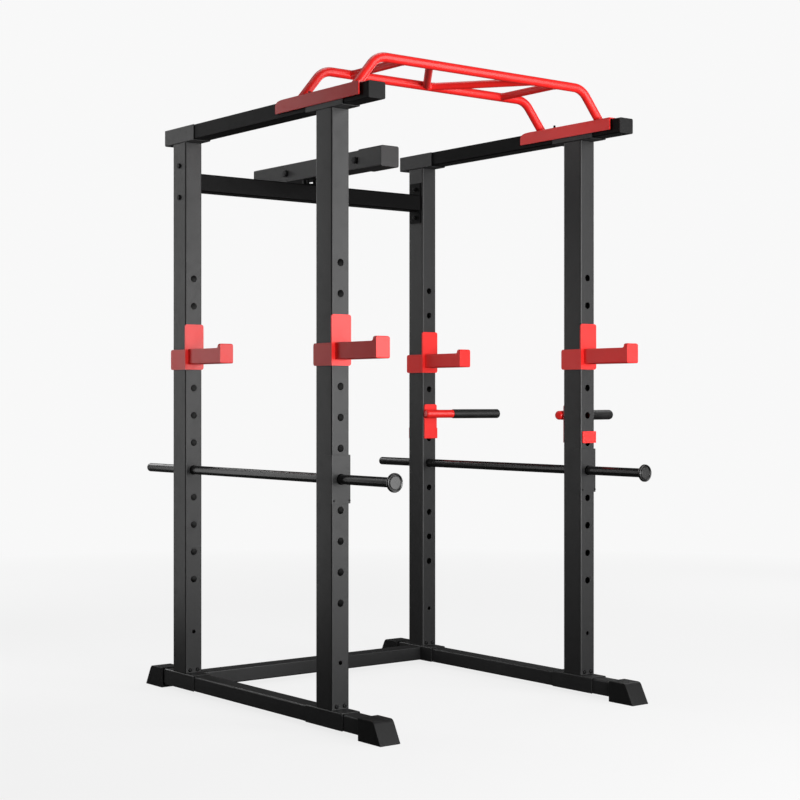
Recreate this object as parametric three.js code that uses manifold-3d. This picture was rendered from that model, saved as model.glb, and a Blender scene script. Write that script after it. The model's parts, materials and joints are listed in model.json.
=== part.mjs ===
// Power cage: four drilled uprights on rails, with bar hooks, dip handles, safety bars and a pull-up bar.
// Millimetres, +Z up. X runs across the cage and -Y is its open front. Left and right are as seen from the
// front, so right is +X. Everything is laid out about the middle of the four uprights at floor level, and
// the finished group is then moved so that its origin is the middle of its own footprint, on the floor.
import * as THREE from 'three';
import { mergeVertices } from 'three/addons/utils/BufferGeometryUtils.js';
import Module from 'manifold-3d';

const wasm = await Module();
wasm.setup();

// ---------------------------------------------------------------- driving dimensions

const FIT = 0.3; // gap left between pieces that touch
const RUNNING_GAP = 1; // gap round a piece that slides or turns
const PAST = 1; // how far a cutting body runs past the face it cuts, or a joined one into its neighbour

// Uprights: rectangular tube with a row of holes from front to back
const UPRIGHT_SPACING_X = 1026;
const UPRIGHT_SPACING_Y = 848;
const UPRIGHT_WIDTH = 64;
const UPRIGHT_DEPTH = 84;
const UPRIGHT_WALL = 3;
const UPRIGHT_LENGTH = 1796;
const HOLE_RADIUS = 11;
const HOLE_PITCH = 92.5;
const HOLE_COUNT = 12;
const LOWEST_HOLE_HEIGHT = 385;
const SMALL_HOLE_RADIUS = 6.5;
const SMALL_HOLE_HEIGHT = 207;
const TUBE_CORNER = 5;

// Which hole, counted from the lowest as 0, each fitting uses
const SAFETY_STATION = 4;
const DIP_STATION = 6;
const HOOK_STATION = 9;

// Side rails and the saddles that join them to the uprights
const RAIL_WIDTH = 60;
const RAIL_HEIGHT = 50;
const RAIL_WALL = 2.5;
const TOP_RAIL_FRONT_OVERHANG = 223; // beyond the front uprights' centres, cap included
const SADDLE_LENGTH = 190;
const SADDLE_PLATE = 3;
const CAP_THICKNESS = 6;
const CAP_BOSS_DEPTH = 20;

// Feet: shoes that sleeve the ends of the base rails
const FOOT_LENGTH = 110;
const FOOT_WIDTH = 74;
const FOOT_PAD = 14; // floor to the rail's underside
const FOOT_ROOF = 4;
const FOOT_NOSE_SLOPE = 36;
const FOOT_NOSE_RADIUS = 10;
const FOOT_SOCKET = 56;
const FRONT_FOOT_REACH = 287; // beyond the front uprights' centres to the tip of the foot
const REAR_FOOT_REACH = 221;

// Rear crossmembers
const CROSS_HEIGHT = 60;
const CROSS_DEPTH = 60;
const CROSS_WALL = 2.5;
const CROSS_BELOW_TOP = 130; // upper crossmember's centre, below the uprights' tops
const END_PLATE = 4;
const END_PLATE_HEIGHT = 150;
const CROSS_BOLT_SPACING = 107;
const CROSS_BOLT_RADIUS = 5;
const CROSS_BOLT_HEAD_RADIUS = 10;
const CROSS_BOLT_HEAD = 6; // thickness of the head and of the nut
const CROSS_NUT_RADIUS = 8.5;
const CROSS_BOLT_END = 3; // shank that shows past the nut
const END_PLATE_VENT_RADIUS = 8;

// Cable beam above the upper crossmember
const BEAM_WIDTH = 70;
const BEAM_HEIGHT = 66;
const BEAM_WALL = 2.5;
const BEAM_LENGTH = 779;
const BEAM_REAR_OVERHANG = 325; // beyond the rear uprights' centres, cap included
const BEAM_MOUNT_HEIGHT = 19;
const BEAM_MOUNT_PLATE = 3;
const BEAM_BOSS_RADIUS = 12;
const BEAM_BOSS_SPACING = 44;
const BEAM_HOLE_RADIUS = 10;
const BEAM_REAR_HOLE_FROM_CAP = 216;
const BEAM_FRONT_HOLE_FROM_SLEEVE = 20;
const SLEEVE_WALL = 2.7;
const SLEEVE_LENGTH = 131;
const SLEEVE_FACE = 6; // thickness of the sleeve's closed front
const SLEEVE_CORNER = 7;

// Pull-up bar
const BRACKET_LENGTH = 436;
const BRACKET_CENTRE_BEHIND = 36; // behind the front uprights' centres
const BRACKET_SIDE_HEIGHT = 40;
const BRACKET_PLATE = 4;
const BRACKET_CORNER_RUN = 46;
const BRACKET_CORNER_DROP = 16;
const BAR_RADIUS = 14.5;
const BAR_SPACING = 280;
const BAR_HEIGHT = 103; // centre line above the top rails
const BAR_FOOT_INSET = 7; // inwards from the uprights' centres
const BAR_LEAN = 39.7; // degrees from upright
const BAR_BEND_RADIUS = 70;
const GRIP_RADIUS = 12.5;
const OUTER_GRIP_FROM_FOOT = 191;
const INNER_GRIP_FROM_OUTER = 101; // at the front bar
const INNER_GRIP_REAR_X = 15;

// Bar hooks
const HOOK_PLATE = 5;
const HOOK_PLATE_WIDTH = 72;
const HOOK_PLATE_TOP = 30; // above the peg
const HOOK_PLATE_BOTTOM = 123; // below the peg
const HOOK_FLANGE_HEIGHT = 68;
const HOOK_FLANGE_PLATE = 4.2;
const HOOK_ARM_CORNER = 4;
const HOOK_ARM_WIDTH = 50;
const HOOK_ARM_LENGTH = 203;
const HOOK_ARM_TOP = 54; // below the peg
const HOOK_ARM_HEIGHT = 51;
const HOOK_LIP_RISE = 14;
const HOOK_LIP_THICKNESS = 16;
const HOOK_FILLET = 8;
const HOOK_RETURN_REACH = 22;
const PEG_CLEARANCE = 0.5; // between a peg and its hole, on the radius
const PEG_LENGTH = 42; // behind the plate that carries it

// Dip handles
const DIP_PLATE = 5;
const DIP_PLATE_TOP = 36; // above the peg
const DIP_FLANGE_HEIGHT = 39;
const DIP_FLANGE_PLATE = 4.2;
const DIP_PLATE_INSET = 5; // inner edges, from the upright's inner side
const DIP_CRADLE_INSET = 4;
const DIP_TUBE_RADIUS = 15.5;
const DIP_TUBE_LENGTH = 310;
const DIP_TUBE_ROUND = 8; // at the closed inner end
const DIP_TUBE_INSET = 38; // inner end, past the upright's centre
const DIP_ANGLE = 11; // degrees that each handle turns towards the other
const DIP_GRIP_RADIUS = 17.5;
const DIP_GRIP_LENGTH = 200;
const DIP_GRIP_END = 8; // rubber past the end of the tube
const DIP_GRIP_ROUND = 7;
const DIP_GRIP_MOUTH_ROUND = 1.5;

// Safety bars and the collars that guide them
const SAFETY_RADIUS = 15;
const SAFETY_WALL = 3;
const SAFETY_FRONT_REACH = 310; // beyond the front uprights' centres
const SAFETY_REAR_REACH = 254;
const FLANGE_RADIUS = 28.5;
const FLANGE_THICKNESS = 12;
const FLANGE_RECESS = 3;
const FLANGE_RECESS_RADIUS = 16;
const FLANGE_RECESS_RUN = 3; // how far the recess's side slopes outwards
const FLANGE_ROUND = 2;
const FLANGE_TAPER = 4; // the rim's back slopes down to the pipe over this length
const FLANGE_NECK = 4; // outside the pipe's radius
const PLUG_HEAD = 4;
const PLUG_ROUND = 3;
const PLUG_LENGTH = 30; // inside the pipe
const COLLAR_PLATE = 3;
const COLLAR_HEIGHT = 146;
const COLLAR_SIDE_DEPTH = 44;

// Facets on round features
const HOLE_FACETS = 10;
const BOLT_FACETS = 10;
const NUT_FACETS = 6;
const ROD_FACETS = 16;
const FLANGE_FACETS = 24;
const TUBE_CORNER_STEPS = 2;
const OUTLINE_STEPS = 4;
const ROUND_STEPS = 2;
const BEND_STEPS = 6;

// ---------------------------------------------------------------- derived levels and planes

const uprightX = UPRIGHT_SPACING_X / 2;
const uprightY = UPRIGHT_SPACING_Y / 2;
const baseRailTop = FOOT_PAD + RAIL_HEIGHT;
const uprightBottom = baseRailTop + FIT + SADDLE_PLATE + FIT;
const uprightTop = uprightBottom + UPRIGHT_LENGTH;
const crossCentreHeight = uprightTop - CROSS_BELOW_TOP;
const topRailBottom = uprightTop + FIT + SADDLE_PLATE + FIT;
const topRailTop = topRailBottom + RAIL_HEIGHT;
const saddleOuter = RAIL_WIDTH / 2 + FIT + SADDLE_PLATE;
const stationHeight = (station) => LOWEST_HOLE_HEIGHT + station * HOLE_PITCH;
const safetyHeight = stationHeight(SAFETY_STATION);
const dipHeight = stationHeight(DIP_STATION);
const hookHeight = stationHeight(HOOK_STATION);
const pegRadius = HOLE_RADIUS - PEG_CLEARANCE;
const safetyBore = SAFETY_RADIUS + RUNNING_GAP;

// ---------------------------------------------------------------- materials

const finish = (color, roughness, metalness) =>
  new THREE.MeshStandardMaterial({ color, roughness, metalness });
const charcoal = () => finish(0x3a3b3d, 0.5, 0.2);
const black = () => finish(0x141415, 0.45, 0.2);
const red = () => finish(0xc9302f, 0.38, 0.1);
const plastic = () => finish(0x1a1a1b, 0.6, 0);
const rubber = () => finish(0x101011, 0.85, 0);
const boltSteel = () => finish(0x2a2b2d, 0.4, 0.7);

// ---------------------------------------------------------------- solids

// A closed geometry as a solid that can be joined and cut.
function solid(geometry) {
  const bare = geometry.clone();
  bare.deleteAttribute('normal');
  bare.deleteAttribute('uv');
  const merged = mergeVertices(bare, 1e-4);
  return new wasm.Manifold(new wasm.Mesh({
    numProp: 3,
    vertProperties: new Float32Array(merged.attributes.position.array),
    triVerts: new Uint32Array(merged.index.array),
  }));
}

function geometryOf(body) {
  const mesh = body.getMesh();
  const indexed = new THREE.BufferGeometry();
  indexed.setAttribute('position', new THREE.BufferAttribute(mesh.vertProperties, 3));
  indexed.setIndex(new THREE.BufferAttribute(mesh.triVerts, 1));
  const flat = indexed.toNonIndexed();
  flat.computeVertexNormals();
  return flat;
}

// A box from its lowest to its highest corner; either order works along each axis.
function block([x0, x1], [y0, y1], [z0, z1]) {
  const geometry = new THREE.BoxGeometry(Math.abs(x1 - x0), Math.abs(y1 - y0), Math.abs(z1 - z0));
  return solid(geometry.translate((x0 + x1) / 2, (y0 + y1) / 2, (z0 + z1) / 2));
}

// The radius of a faceted bore whose flats stand clear of a round of the given radius.
const boreRound = (radius, gap = FIT, facets = ROD_FACETS) => (radius + gap) / Math.cos(Math.PI / facets);

// Stands a round geometry, made about +Y from the origin, at start and leans it towards end.
function stand(geometry, start, end, facets) {
  const from = new THREE.Vector3(...start);
  const along = new THREE.Vector3(...end).sub(from).normalize();
  const lean = new THREE.Quaternion().setFromUnitVectors(new THREE.Vector3(0, 1, 0), along);
  geometry.rotateY(Math.PI / facets);
  return solid(geometry.applyQuaternion(lean).translate(from.x, from.y, from.z));
}

// A round rod between two points.
function rod(start, end, radius, facets = ROD_FACETS) {
  const length = new THREE.Vector3(...start).distanceTo(new THREE.Vector3(...end));
  const geometry = new THREE.CylinderGeometry(radius, radius, length, facets);
  return stand(geometry.translate(0, length / 2, 0), start, end, facets);
}

// A rod that bores a hole, with its flats at the given radius.
const drill = (start, end, radius) => rod(start, end, boreRound(radius, 0, HOLE_FACETS), HOLE_FACETS);

// The profile of a closed end, from the axis round a corner to the wall, as [radius, distance] pairs.
function roundedEnd(radius, corner) {
  const profile = [[0, 0]];
  for (let step = 0; step <= ROUND_STEPS; step += 1) {
    const angle = (step / ROUND_STEPS) * (Math.PI / 2);
    profile.push([radius - corner + corner * Math.sin(angle), corner * (1 - Math.cos(angle))]);
  }
  return profile;
}

// A body of revolution about the line from start towards end, from [radius, distance] pairs.
function turned(profile, start, end, facets = ROD_FACETS) {
  const points = profile.map(([radius, distance]) => new THREE.Vector2(radius, distance));
  return stand(new THREE.LatheGeometry(points, facets), start, end, facets);
}

function roundedRectangle(width, height, radius) {
  const shape = new THREE.Shape();
  const x = width / 2;
  const y = height / 2;
  shape.moveTo(-x + radius, -y);
  shape.lineTo(x - radius, -y);
  shape.absarc(x - radius, -y + radius, radius, -Math.PI / 2, 0);
  shape.lineTo(x, y - radius);
  shape.absarc(x - radius, y - radius, radius, 0, Math.PI / 2);
  shape.lineTo(-x + radius, y);
  shape.absarc(-x + radius, y - radius, radius, Math.PI / 2, Math.PI);
  shape.lineTo(-x, -y + radius);
  shape.absarc(-x + radius, -y + radius, radius, Math.PI, Math.PI * 1.5);
  shape.closePath();
  return shape;
}

// Turns that lay an extrusion's own z along the wanted axis, with the outline's x and y as noted.
const layAlong = {
  x: (geometry) => geometry.rotateX(Math.PI / 2).rotateZ(Math.PI / 2), // outline x is Y, outline y is Z
  y: (geometry) => geometry.rotateX(Math.PI / 2), // outline x is X, outline y is Z, length towards -Y
  z: (geometry) => geometry, // outline x is X, outline y is Y
};

// An outline extruded by length, its middle at the given point.
function bar(shape, axis, length, [x, y, z], curveSegments = TUBE_CORNER_STEPS) {
  const geometry = new THREE.ExtrudeGeometry(shape, { depth: length, bevelEnabled: false, curveSegments });
  return solid(layAlong[axis](geometry.translate(0, 0, -length / 2)).translate(x, y, z));
}

function rectangularTube(width, height, wall, axis, length, centre) {
  const outside = bar(roundedRectangle(width, height, TUBE_CORNER), axis, length, centre);
  const bore = roundedRectangle(width - 2 * wall, height - 2 * wall, TUBE_CORNER - wall);
  return outside.subtract(bar(bore, axis, length + 2 * PAST, centre, 1));
}

// A side view (Y, Z) extruded across X between two X values.
function sideProfile(shape, x0, x1) {
  return bar(shape, 'x', Math.abs(x1 - x0), [(x0 + x1) / 2, 0, 0], OUTLINE_STEPS);
}

// ---------------------------------------------------------------- assembly

const rack = new THREE.Group();

function place(name, body, material) {
  const mesh = new THREE.Mesh(geometryOf(body), material);
  mesh.name = name;
  rack.add(mesh);
}

const sides = [['left', -1], ['right', 1]];
const ends = [['front', -1], ['rear', 1]];

// ---- uprights

function upright(x, end) {
  const y = end * uprightY;
  const centre = [x, y, uprightBottom + UPRIGHT_LENGTH / 2];
  let body = rectangularTube(UPRIGHT_WIDTH, UPRIGHT_DEPTH, UPRIGHT_WALL, 'z', UPRIGHT_LENGTH, centre);
  const through = UPRIGHT_DEPTH / 2 + PAST;
  const holes = [[SMALL_HOLE_HEIGHT, SMALL_HOLE_RADIUS]];
  for (let station = 0; station < HOLE_COUNT; station += 1) {
    holes.push([stationHeight(station), station === SAFETY_STATION ? safetyBore : HOLE_RADIUS]);
  }
  for (const [height, radius] of holes) {
    body = body.subtract(drill([x, y - through, height], [x, y + through, height], radius));
  }
  if (end > 0) {
    const across = UPRIGHT_WIDTH / 2 + PAST;
    for (const height of crossBoltHeights) {
      const clear = CROSS_BOLT_RADIUS + FIT;
      body = body.subtract(drill([x - across, y, height], [x + across, y, height], clear));
    }
  }
  return body;
}

const crossBoltHeights = [-1, 1].map((up) => crossCentreHeight + (up * CROSS_BOLT_SPACING) / 2);

// ---- saddles: a web between upright and rail, and two cheeks along the rail's sides

function saddle(x, y, webBottom, upwards) {
  const web = [webBottom, webBottom + SADDLE_PLATE];
  const long = [y - SADDLE_LENGTH / 2, y + SADDLE_LENGTH / 2];
  const cheekEnd = upwards ? web[1] + FIT + RAIL_HEIGHT : web[0] - FIT - RAIL_HEIGHT;
  const cheek = upwards ? [web[0], cheekEnd] : [cheekEnd, web[1]];
  let body = block([x - saddleOuter, x + saddleOuter], long, web);
  for (const side of [-1, 1]) {
    body = body.add(block([x + side * saddleOuter, x + side * (saddleOuter - SADDLE_PLATE)], long, cheek));
  }
  return body;
}

// ---- top rails with their caps

const topRailFront = -uprightY - TOP_RAIL_FRONT_OVERHANG;
const topRailRear = uprightY + SADDLE_LENGTH / 2;
const topRailLength = topRailRear - topRailFront - 2 * CAP_THICKNESS;
const topRailMiddle = (topRailFront + topRailRear) / 2;
const topRailCentreHeight = (topRailBottom + topRailTop) / 2;

function railCap(x, outerY, towards) {
  const plateInner = outerY - towards * CAP_THICKNESS;
  const plate = bar(
    roundedRectangle(RAIL_WIDTH, RAIL_HEIGHT, TUBE_CORNER),
    'y',
    CAP_THICKNESS - FIT,
    [x, outerY - (towards * (CAP_THICKNESS - FIT)) / 2, topRailCentreHeight],
  );
  const bossX = RAIL_WIDTH / 2 - RAIL_WALL - FIT;
  const bossZ = RAIL_HEIGHT / 2 - RAIL_WALL - FIT;
  return plate.add(block(
    [x - bossX, x + bossX],
    [plateInner + towards * PAST, plateInner - towards * CAP_BOSS_DEPTH],
    [topRailCentreHeight - bossZ + RAIL_WALL, topRailCentreHeight + bossZ - RAIL_WALL],
  ));
}

// ---- base rails and feet

const frontFootTip = -uprightY - FRONT_FOOT_REACH;
const rearFootTip = uprightY + REAR_FOOT_REACH;
const footEndWall = FOOT_LENGTH - FOOT_SOCKET;
const baseRailFront = frontFootTip + footEndWall + FIT;
const baseRailRear = rearFootTip - footEndWall - FIT;
const baseRailMiddle = (baseRailFront + baseRailRear) / 2;
const baseRailCentreHeight = FOOT_PAD + RAIL_HEIGHT / 2;

function foot(x, tipY, towards) {
  const top = baseRailTop + FIT + FOOT_ROOF;
  const inner = tipY - towards * FOOT_LENGTH;
  const noseTop = tipY - towards * FOOT_NOSE_SLOPE;
  const shape = new THREE.Shape();
  shape.moveTo(inner, 0);
  shape.lineTo(tipY, 0);
  shape.lineTo(noseTop + (towards * FOOT_NOSE_SLOPE * FOOT_NOSE_RADIUS) / top, top - FOOT_NOSE_RADIUS);
  shape.quadraticCurveTo(noseTop, top, noseTop - towards * FOOT_NOSE_RADIUS, top);
  shape.lineTo(inner, top);
  shape.closePath();
  const shoe = sideProfile(shape, x - FOOT_WIDTH / 2, x + FOOT_WIDTH / 2);
  const halfSocket = RAIL_WIDTH / 2 + FIT;
  const socket = block(
    [x - halfSocket, x + halfSocket],
    [inner - towards * PAST, inner + towards * FOOT_SOCKET],
    [FOOT_PAD - FIT, baseRailTop + FIT],
  );
  return shoe.subtract(socket);
}

// ---- rear crossmembers

const crossY = uprightY;
const upperCrossEnd = uprightX - UPRIGHT_WIDTH / 2 - FIT;
const floorCrossEnd = uprightX - saddleOuter - FIT;

function upperCrossmember() {
  const length = 2 * (upperCrossEnd - END_PLATE + PAST);
  const centre = [0, crossY, crossCentreHeight];
  const half = END_PLATE_HEIGHT / 2;
  let body = rectangularTube(CROSS_DEPTH, CROSS_HEIGHT, CROSS_WALL, 'x', length, centre);
  for (const side of [-1, 1]) {
    const outer = side * upperCrossEnd;
    const inner = outer - side * END_PLATE;
    const pierce = (height, radius) =>
      drill([outer + side * PAST, crossY, height], [inner - 2 * side * PAST, crossY, height], radius);
    body = body
      .add(block(
        [outer, inner],
        [crossY - CROSS_DEPTH / 2, crossY + CROSS_DEPTH / 2],
        [crossCentreHeight - half, crossCentreHeight + half],
      ))
      .subtract(pierce(crossCentreHeight, END_PLATE_VENT_RADIUS));
    for (const height of crossBoltHeights) {
      body = body.subtract(pierce(height, CROSS_BOLT_RADIUS + FIT));
    }
  }
  return body;
}

function floorCrossmember() {
  return rectangularTube(
    CROSS_DEPTH,
    RAIL_HEIGHT,
    RAIL_WALL,
    'x',
    2 * floorCrossEnd,
    [0, crossY, baseRailCentreHeight],
  );
}

function crossBolt(side, height) {
  const headFace = side * (uprightX + UPRIGHT_WIDTH / 2 + FIT);
  const headTop = headFace + side * CROSS_BOLT_HEAD;
  const nutFace = side * (upperCrossEnd - END_PLATE - FIT);
  const nutTop = nutFace - side * CROSS_BOLT_HEAD;
  const shankEnd = nutTop - side * CROSS_BOLT_END;
  const along = (from, to, radius, facets) =>
    rod([from, crossY, height], [to, crossY, height], radius, facets);
  return along(headFace, shankEnd, CROSS_BOLT_RADIUS, BOLT_FACETS)
    .add(along(headFace, headTop, CROSS_BOLT_HEAD_RADIUS, BOLT_FACETS))
    .add(along(nutFace, nutTop, CROSS_NUT_RADIUS, NUT_FACETS));
}

// ---- cable beam

const crossTop = crossCentreHeight + CROSS_HEIGHT / 2;
const beamBottom = crossTop + BEAM_MOUNT_HEIGHT;
const beamCentreHeight = beamBottom + BEAM_HEIGHT / 2;
const beamRear = uprightY + BEAM_REAR_OVERHANG - CAP_THICKNESS;
const beamFront = beamRear - BEAM_LENGTH;
const sleeveRear = beamFront - FIT - SLEEVE_FACE + SLEEVE_LENGTH;

function cableBeam() {
  const centre = [0, (beamFront + beamRear) / 2, beamCentreHeight];
  let body = rectangularTube(BEAM_WIDTH, BEAM_HEIGHT, BEAM_WALL, 'y', BEAM_LENGTH, centre);
  const across = BEAM_WIDTH / 2 + PAST;
  const rearHole = beamRear + CAP_THICKNESS - BEAM_REAR_HOLE_FROM_CAP;
  const frontHole = sleeveRear + BEAM_FRONT_HOLE_FROM_SLEEVE;
  const z = beamCentreHeight;
  for (const y of [rearHole, frontHole]) {
    body = body.subtract(drill([-across, y, z], [across, y, z], BEAM_HOLE_RADIUS));
  }
  return body;
}

function beamSleeve() {
  const front = beamFront - FIT - SLEEVE_FACE;
  const middle = [0, (front + sleeveRear) / 2, beamCentreHeight];
  const outerWidth = BEAM_WIDTH + 2 * (FIT + SLEEVE_WALL);
  const outerHeight = BEAM_HEIGHT + 2 * (FIT + SLEEVE_WALL);
  const outer = bar(roundedRectangle(outerWidth, outerHeight, SLEEVE_CORNER), 'y', SLEEVE_LENGTH, middle);
  return outer.subtract(bar(
    roundedRectangle(BEAM_WIDTH + 2 * FIT, BEAM_HEIGHT + 2 * FIT, TUBE_CORNER),
    'y',
    SLEEVE_LENGTH,
    [0, middle[1] + SLEEVE_FACE, beamCentreHeight],
  ));
}

function beamCap() {
  const plate = bar(
    roundedRectangle(BEAM_WIDTH, BEAM_HEIGHT, TUBE_CORNER),
    'y',
    CAP_THICKNESS - FIT,
    [0, beamRear + FIT + (CAP_THICKNESS - FIT) / 2, beamCentreHeight],
  );
  const bossX = BEAM_WIDTH / 2 - 2 * BEAM_WALL;
  const bossZ = BEAM_HEIGHT / 2 - 2 * BEAM_WALL;
  return plate.add(block(
    [-bossX, bossX],
    [beamRear + FIT + PAST, beamRear - CAP_BOSS_DEPTH],
    [beamCentreHeight - bossZ, beamCentreHeight + bossZ],
  ));
}

function beamMount() {
  const bottom = crossTop + FIT;
  const top = beamBottom - FIT;
  const half = CROSS_DEPTH / 2;
  let body = block([-half, half], [crossY - half, crossY + half], [bottom, bottom + BEAM_MOUNT_PLATE]);
  for (const side of [-1, 1]) {
    const x = (side * BEAM_BOSS_SPACING) / 2;
    body = body.add(rod([x, crossY, bottom + PAST], [x, crossY, top], BEAM_BOSS_RADIUS));
  }
  return body;
}

// ---- pull-up bar

const bracketCentreY = -uprightY + BRACKET_CENTRE_BEHIND;
const bracketFront = bracketCentreY - BRACKET_LENGTH / 2;
const bracketRear = bracketCentreY + BRACKET_LENGTH / 2;
const bracketTop = topRailTop + FIT + BRACKET_PLATE;
const bracketInner = saddleOuter + FIT;
const barHeight = topRailTop + BAR_HEIGHT;
const barFootX = uprightX - BAR_FOOT_INSET;
const outerGripX = barFootX - OUTER_GRIP_FROM_FOOT;
const innerGripX = outerGripX - INNER_GRIP_FROM_OUTER;
const frontBarY = bracketCentreY - BAR_SPACING / 2;
const rearBarY = bracketCentreY + BAR_SPACING / 2;

function pullupBracket(x) {
  const bottom = bracketTop - BRACKET_SIDE_HEIGHT;
  const shape = new THREE.Shape();
  shape.moveTo(bracketFront, bottom);
  shape.lineTo(bracketRear, bottom);
  shape.lineTo(bracketRear, bracketTop - BRACKET_CORNER_DROP);
  shape.quadraticCurveTo(bracketRear, bracketTop, bracketRear - BRACKET_CORNER_RUN, bracketTop);
  shape.lineTo(bracketFront, bracketTop);
  shape.closePath();
  const outer = sideProfile(shape, x - bracketInner - BRACKET_PLATE, x + bracketInner + BRACKET_PLATE);
  return outer.subtract(block(
    [x - bracketInner, x + bracketInner],
    [bracketFront - PAST, bracketRear + PAST],
    [bottom - PAST, topRailTop + FIT],
  ));
}

// The bar's centre line: two leaning risers joined to a level run by round bends.
class BarPath extends THREE.Curve {
  constructor(y, footHeight) {
    super();
    const lean = THREE.MathUtils.degToRad(BAR_LEAN);
    const turn = Math.PI / 2 - lean;
    const kneeX = barFootX - (barHeight - bracketTop) * Math.tan(lean);
    const trim = BAR_BEND_RADIUS * Math.tan(turn / 2);
    const footX = kneeX + (barHeight - footHeight) * Math.tan(lean);
    const bendStartX = kneeX + trim * Math.sin(lean);
    const bendStartZ = barHeight - trim * Math.cos(lean);
    const centreX = kneeX - trim;
    const points = [[footX, footHeight]];
    for (let step = 0; step <= BEND_STEPS; step += 1) {
      const angle = turn - (turn * step) / BEND_STEPS;
      points.push([
        centreX + BAR_BEND_RADIUS * Math.sin(angle),
        barHeight - BAR_BEND_RADIUS + BAR_BEND_RADIUS * Math.cos(angle),
      ]);
    }
    points[1] = [bendStartX, bendStartZ];
    const mirrored = points.map(([x, z]) => [-x, z]).reverse();
    this.points = [...points, ...mirrored].map(([x, z]) => new THREE.Vector3(x, y, z));
  }

  // One station for each corner of the centre line, so straight runs stay straight.
  getPoint(t, target = new THREE.Vector3()) {
    const at = Math.min(t, 1) * (this.points.length - 1);
    const index = Math.min(Math.floor(at), this.points.length - 2);
    return target.copy(this.points[index]).lerp(this.points[index + 1], at - index);
  }

  getPointAt(u, target) {
    return this.getPoint(u, target);
  }

  getTangentAt(u, target = new THREE.Vector3()) {
    const at = Math.round(u * (this.points.length - 1));
    const before = this.points[Math.max(at - 1, 0)];
    const after = this.points[Math.min(at + 1, this.points.length - 1)];
    const into = this.points[at].clone().sub(before).normalize();
    const out = after.clone().sub(this.points[at]).normalize();
    return target.copy(into.add(out)).normalize();
  }
}

function circle(radius) {
  const shape = new THREE.Shape();
  shape.absarc(0, 0, radius, 0, Math.PI * 2);
  return shape;
}

function pullupBar(y) {
  const path = new BarPath(y, bracketTop - 2 * BAR_RADIUS);
  const geometry = new THREE.ExtrudeGeometry(circle(BAR_RADIUS), {
    steps: path.points.length - 1,
    extrudePath: path,
    curveSegments: ROD_FACETS / 2,
  });
  const below = bracketTop + FIT;
  const feet = block(
    [-UPRIGHT_SPACING_X, UPRIGHT_SPACING_X],
    [y - 2 * BAR_RADIUS, y + 2 * BAR_RADIUS],
    [below - 4 * BAR_RADIUS, below],
  );
  return solid(geometry).subtract(feet);
}

// A grip runs from bar to bar, its ends hollowed to sit against them.
function grip(frontX, rearX) {
  let body = rod([frontX, frontBarY, barHeight], [rearX, rearBarY, barHeight], GRIP_RADIUS);
  for (const y of [frontBarY, rearBarY]) {
    const clear = boreRound(BAR_RADIUS);
    body = body.subtract(rod([-barFootX, y, barHeight], [barFootX, y, barHeight], clear));
  }
  return body;
}

// ---- bar hooks: plate with peg, flange round the upright's left side, arm with an upturned lip

function hookArmOutline(plateFace) {
  const top = hookHeight - HOOK_ARM_TOP;
  const bottom = top - HOOK_ARM_HEIGHT;
  const tip = plateFace - HOOK_ARM_LENGTH;
  const lipInner = tip + HOOK_LIP_THICKNESS;
  const lipTop = top + HOOK_LIP_RISE;
  const round = HOOK_ARM_CORNER;
  const shape = new THREE.Shape();
  shape.moveTo(plateFace + PAST, bottom);
  shape.lineTo(plateFace + PAST, top);
  shape.lineTo(lipInner + HOOK_FILLET, top);
  shape.quadraticCurveTo(lipInner, top, lipInner, top + HOOK_FILLET);
  shape.lineTo(lipInner, lipTop - round);
  shape.quadraticCurveTo(lipInner, lipTop, lipInner - round, lipTop);
  shape.lineTo(tip + round, lipTop);
  shape.quadraticCurveTo(tip, lipTop, tip, lipTop - round);
  shape.lineTo(tip, bottom + round);
  shape.quadraticCurveTo(tip, bottom, tip + round, bottom);
  shape.closePath();
  return shape;
}

function barHook(x, end) {
  const front = end * uprightY - UPRIGHT_DEPTH / 2;
  const rear = end * uprightY + UPRIGHT_DEPTH / 2;
  const plateBack = front - RUNNING_GAP;
  const plateFace = plateBack - HOOK_PLATE;
  const flangeInner = x - UPRIGHT_WIDTH / 2 - RUNNING_GAP;
  const flangeOuter = flangeInner - HOOK_FLANGE_PLATE;
  const bottom = hookHeight - HOOK_PLATE_BOTTOM;
  const flange = [bottom, bottom + HOOK_FLANGE_HEIGHT];
  const returnOuter = rear + RUNNING_GAP + HOOK_FLANGE_PLATE;
  return block(
    [flangeOuter, flangeOuter + HOOK_PLATE_WIDTH],
    [plateBack, plateFace],
    [bottom, hookHeight + HOOK_PLATE_TOP],
  )
    .add(block([flangeOuter, flangeInner], [plateFace, returnOuter], flange))
    .add(block([flangeOuter, flangeOuter + HOOK_RETURN_REACH], [rear + RUNNING_GAP, returnOuter], flange))
    .add(sideProfile(hookArmOutline(plateFace), x - HOOK_ARM_WIDTH / 2, x + HOOK_ARM_WIDTH / 2))
    .add(rod([x, plateFace + PAST, hookHeight], [x, plateBack + PEG_LENGTH, hookHeight], pegRadius));
}

// ---- dip handles: the bracket stands on the upright's inner face and the handle reaches out to +X

const dipDirection = (facing) => {
  const angle = THREE.MathUtils.degToRad(DIP_ANGLE);
  return [Math.cos(angle), facing * Math.sin(angle), 0];
};

function dipFrame(end) {
  const facing = -end; // the way the bracket faces, towards the middle of the cage
  const face = end * uprightY + (facing * UPRIGHT_DEPTH) / 2;
  const farFace = end * uprightY - (facing * UPRIGHT_DEPTH) / 2;
  const plateBack = face + facing * RUNNING_GAP;
  const plateFace = plateBack + facing * DIP_PLATE;
  const start = [uprightX - DIP_TUBE_INSET, plateFace + facing * (DIP_TUBE_RADIUS + FIT), dipHeight];
  const direction = dipDirection(facing);
  const along = (distance) => start.map((value, axis) => value + direction[axis] * distance);
  return { facing, farFace, plateBack, plateFace, along };
}

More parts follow.
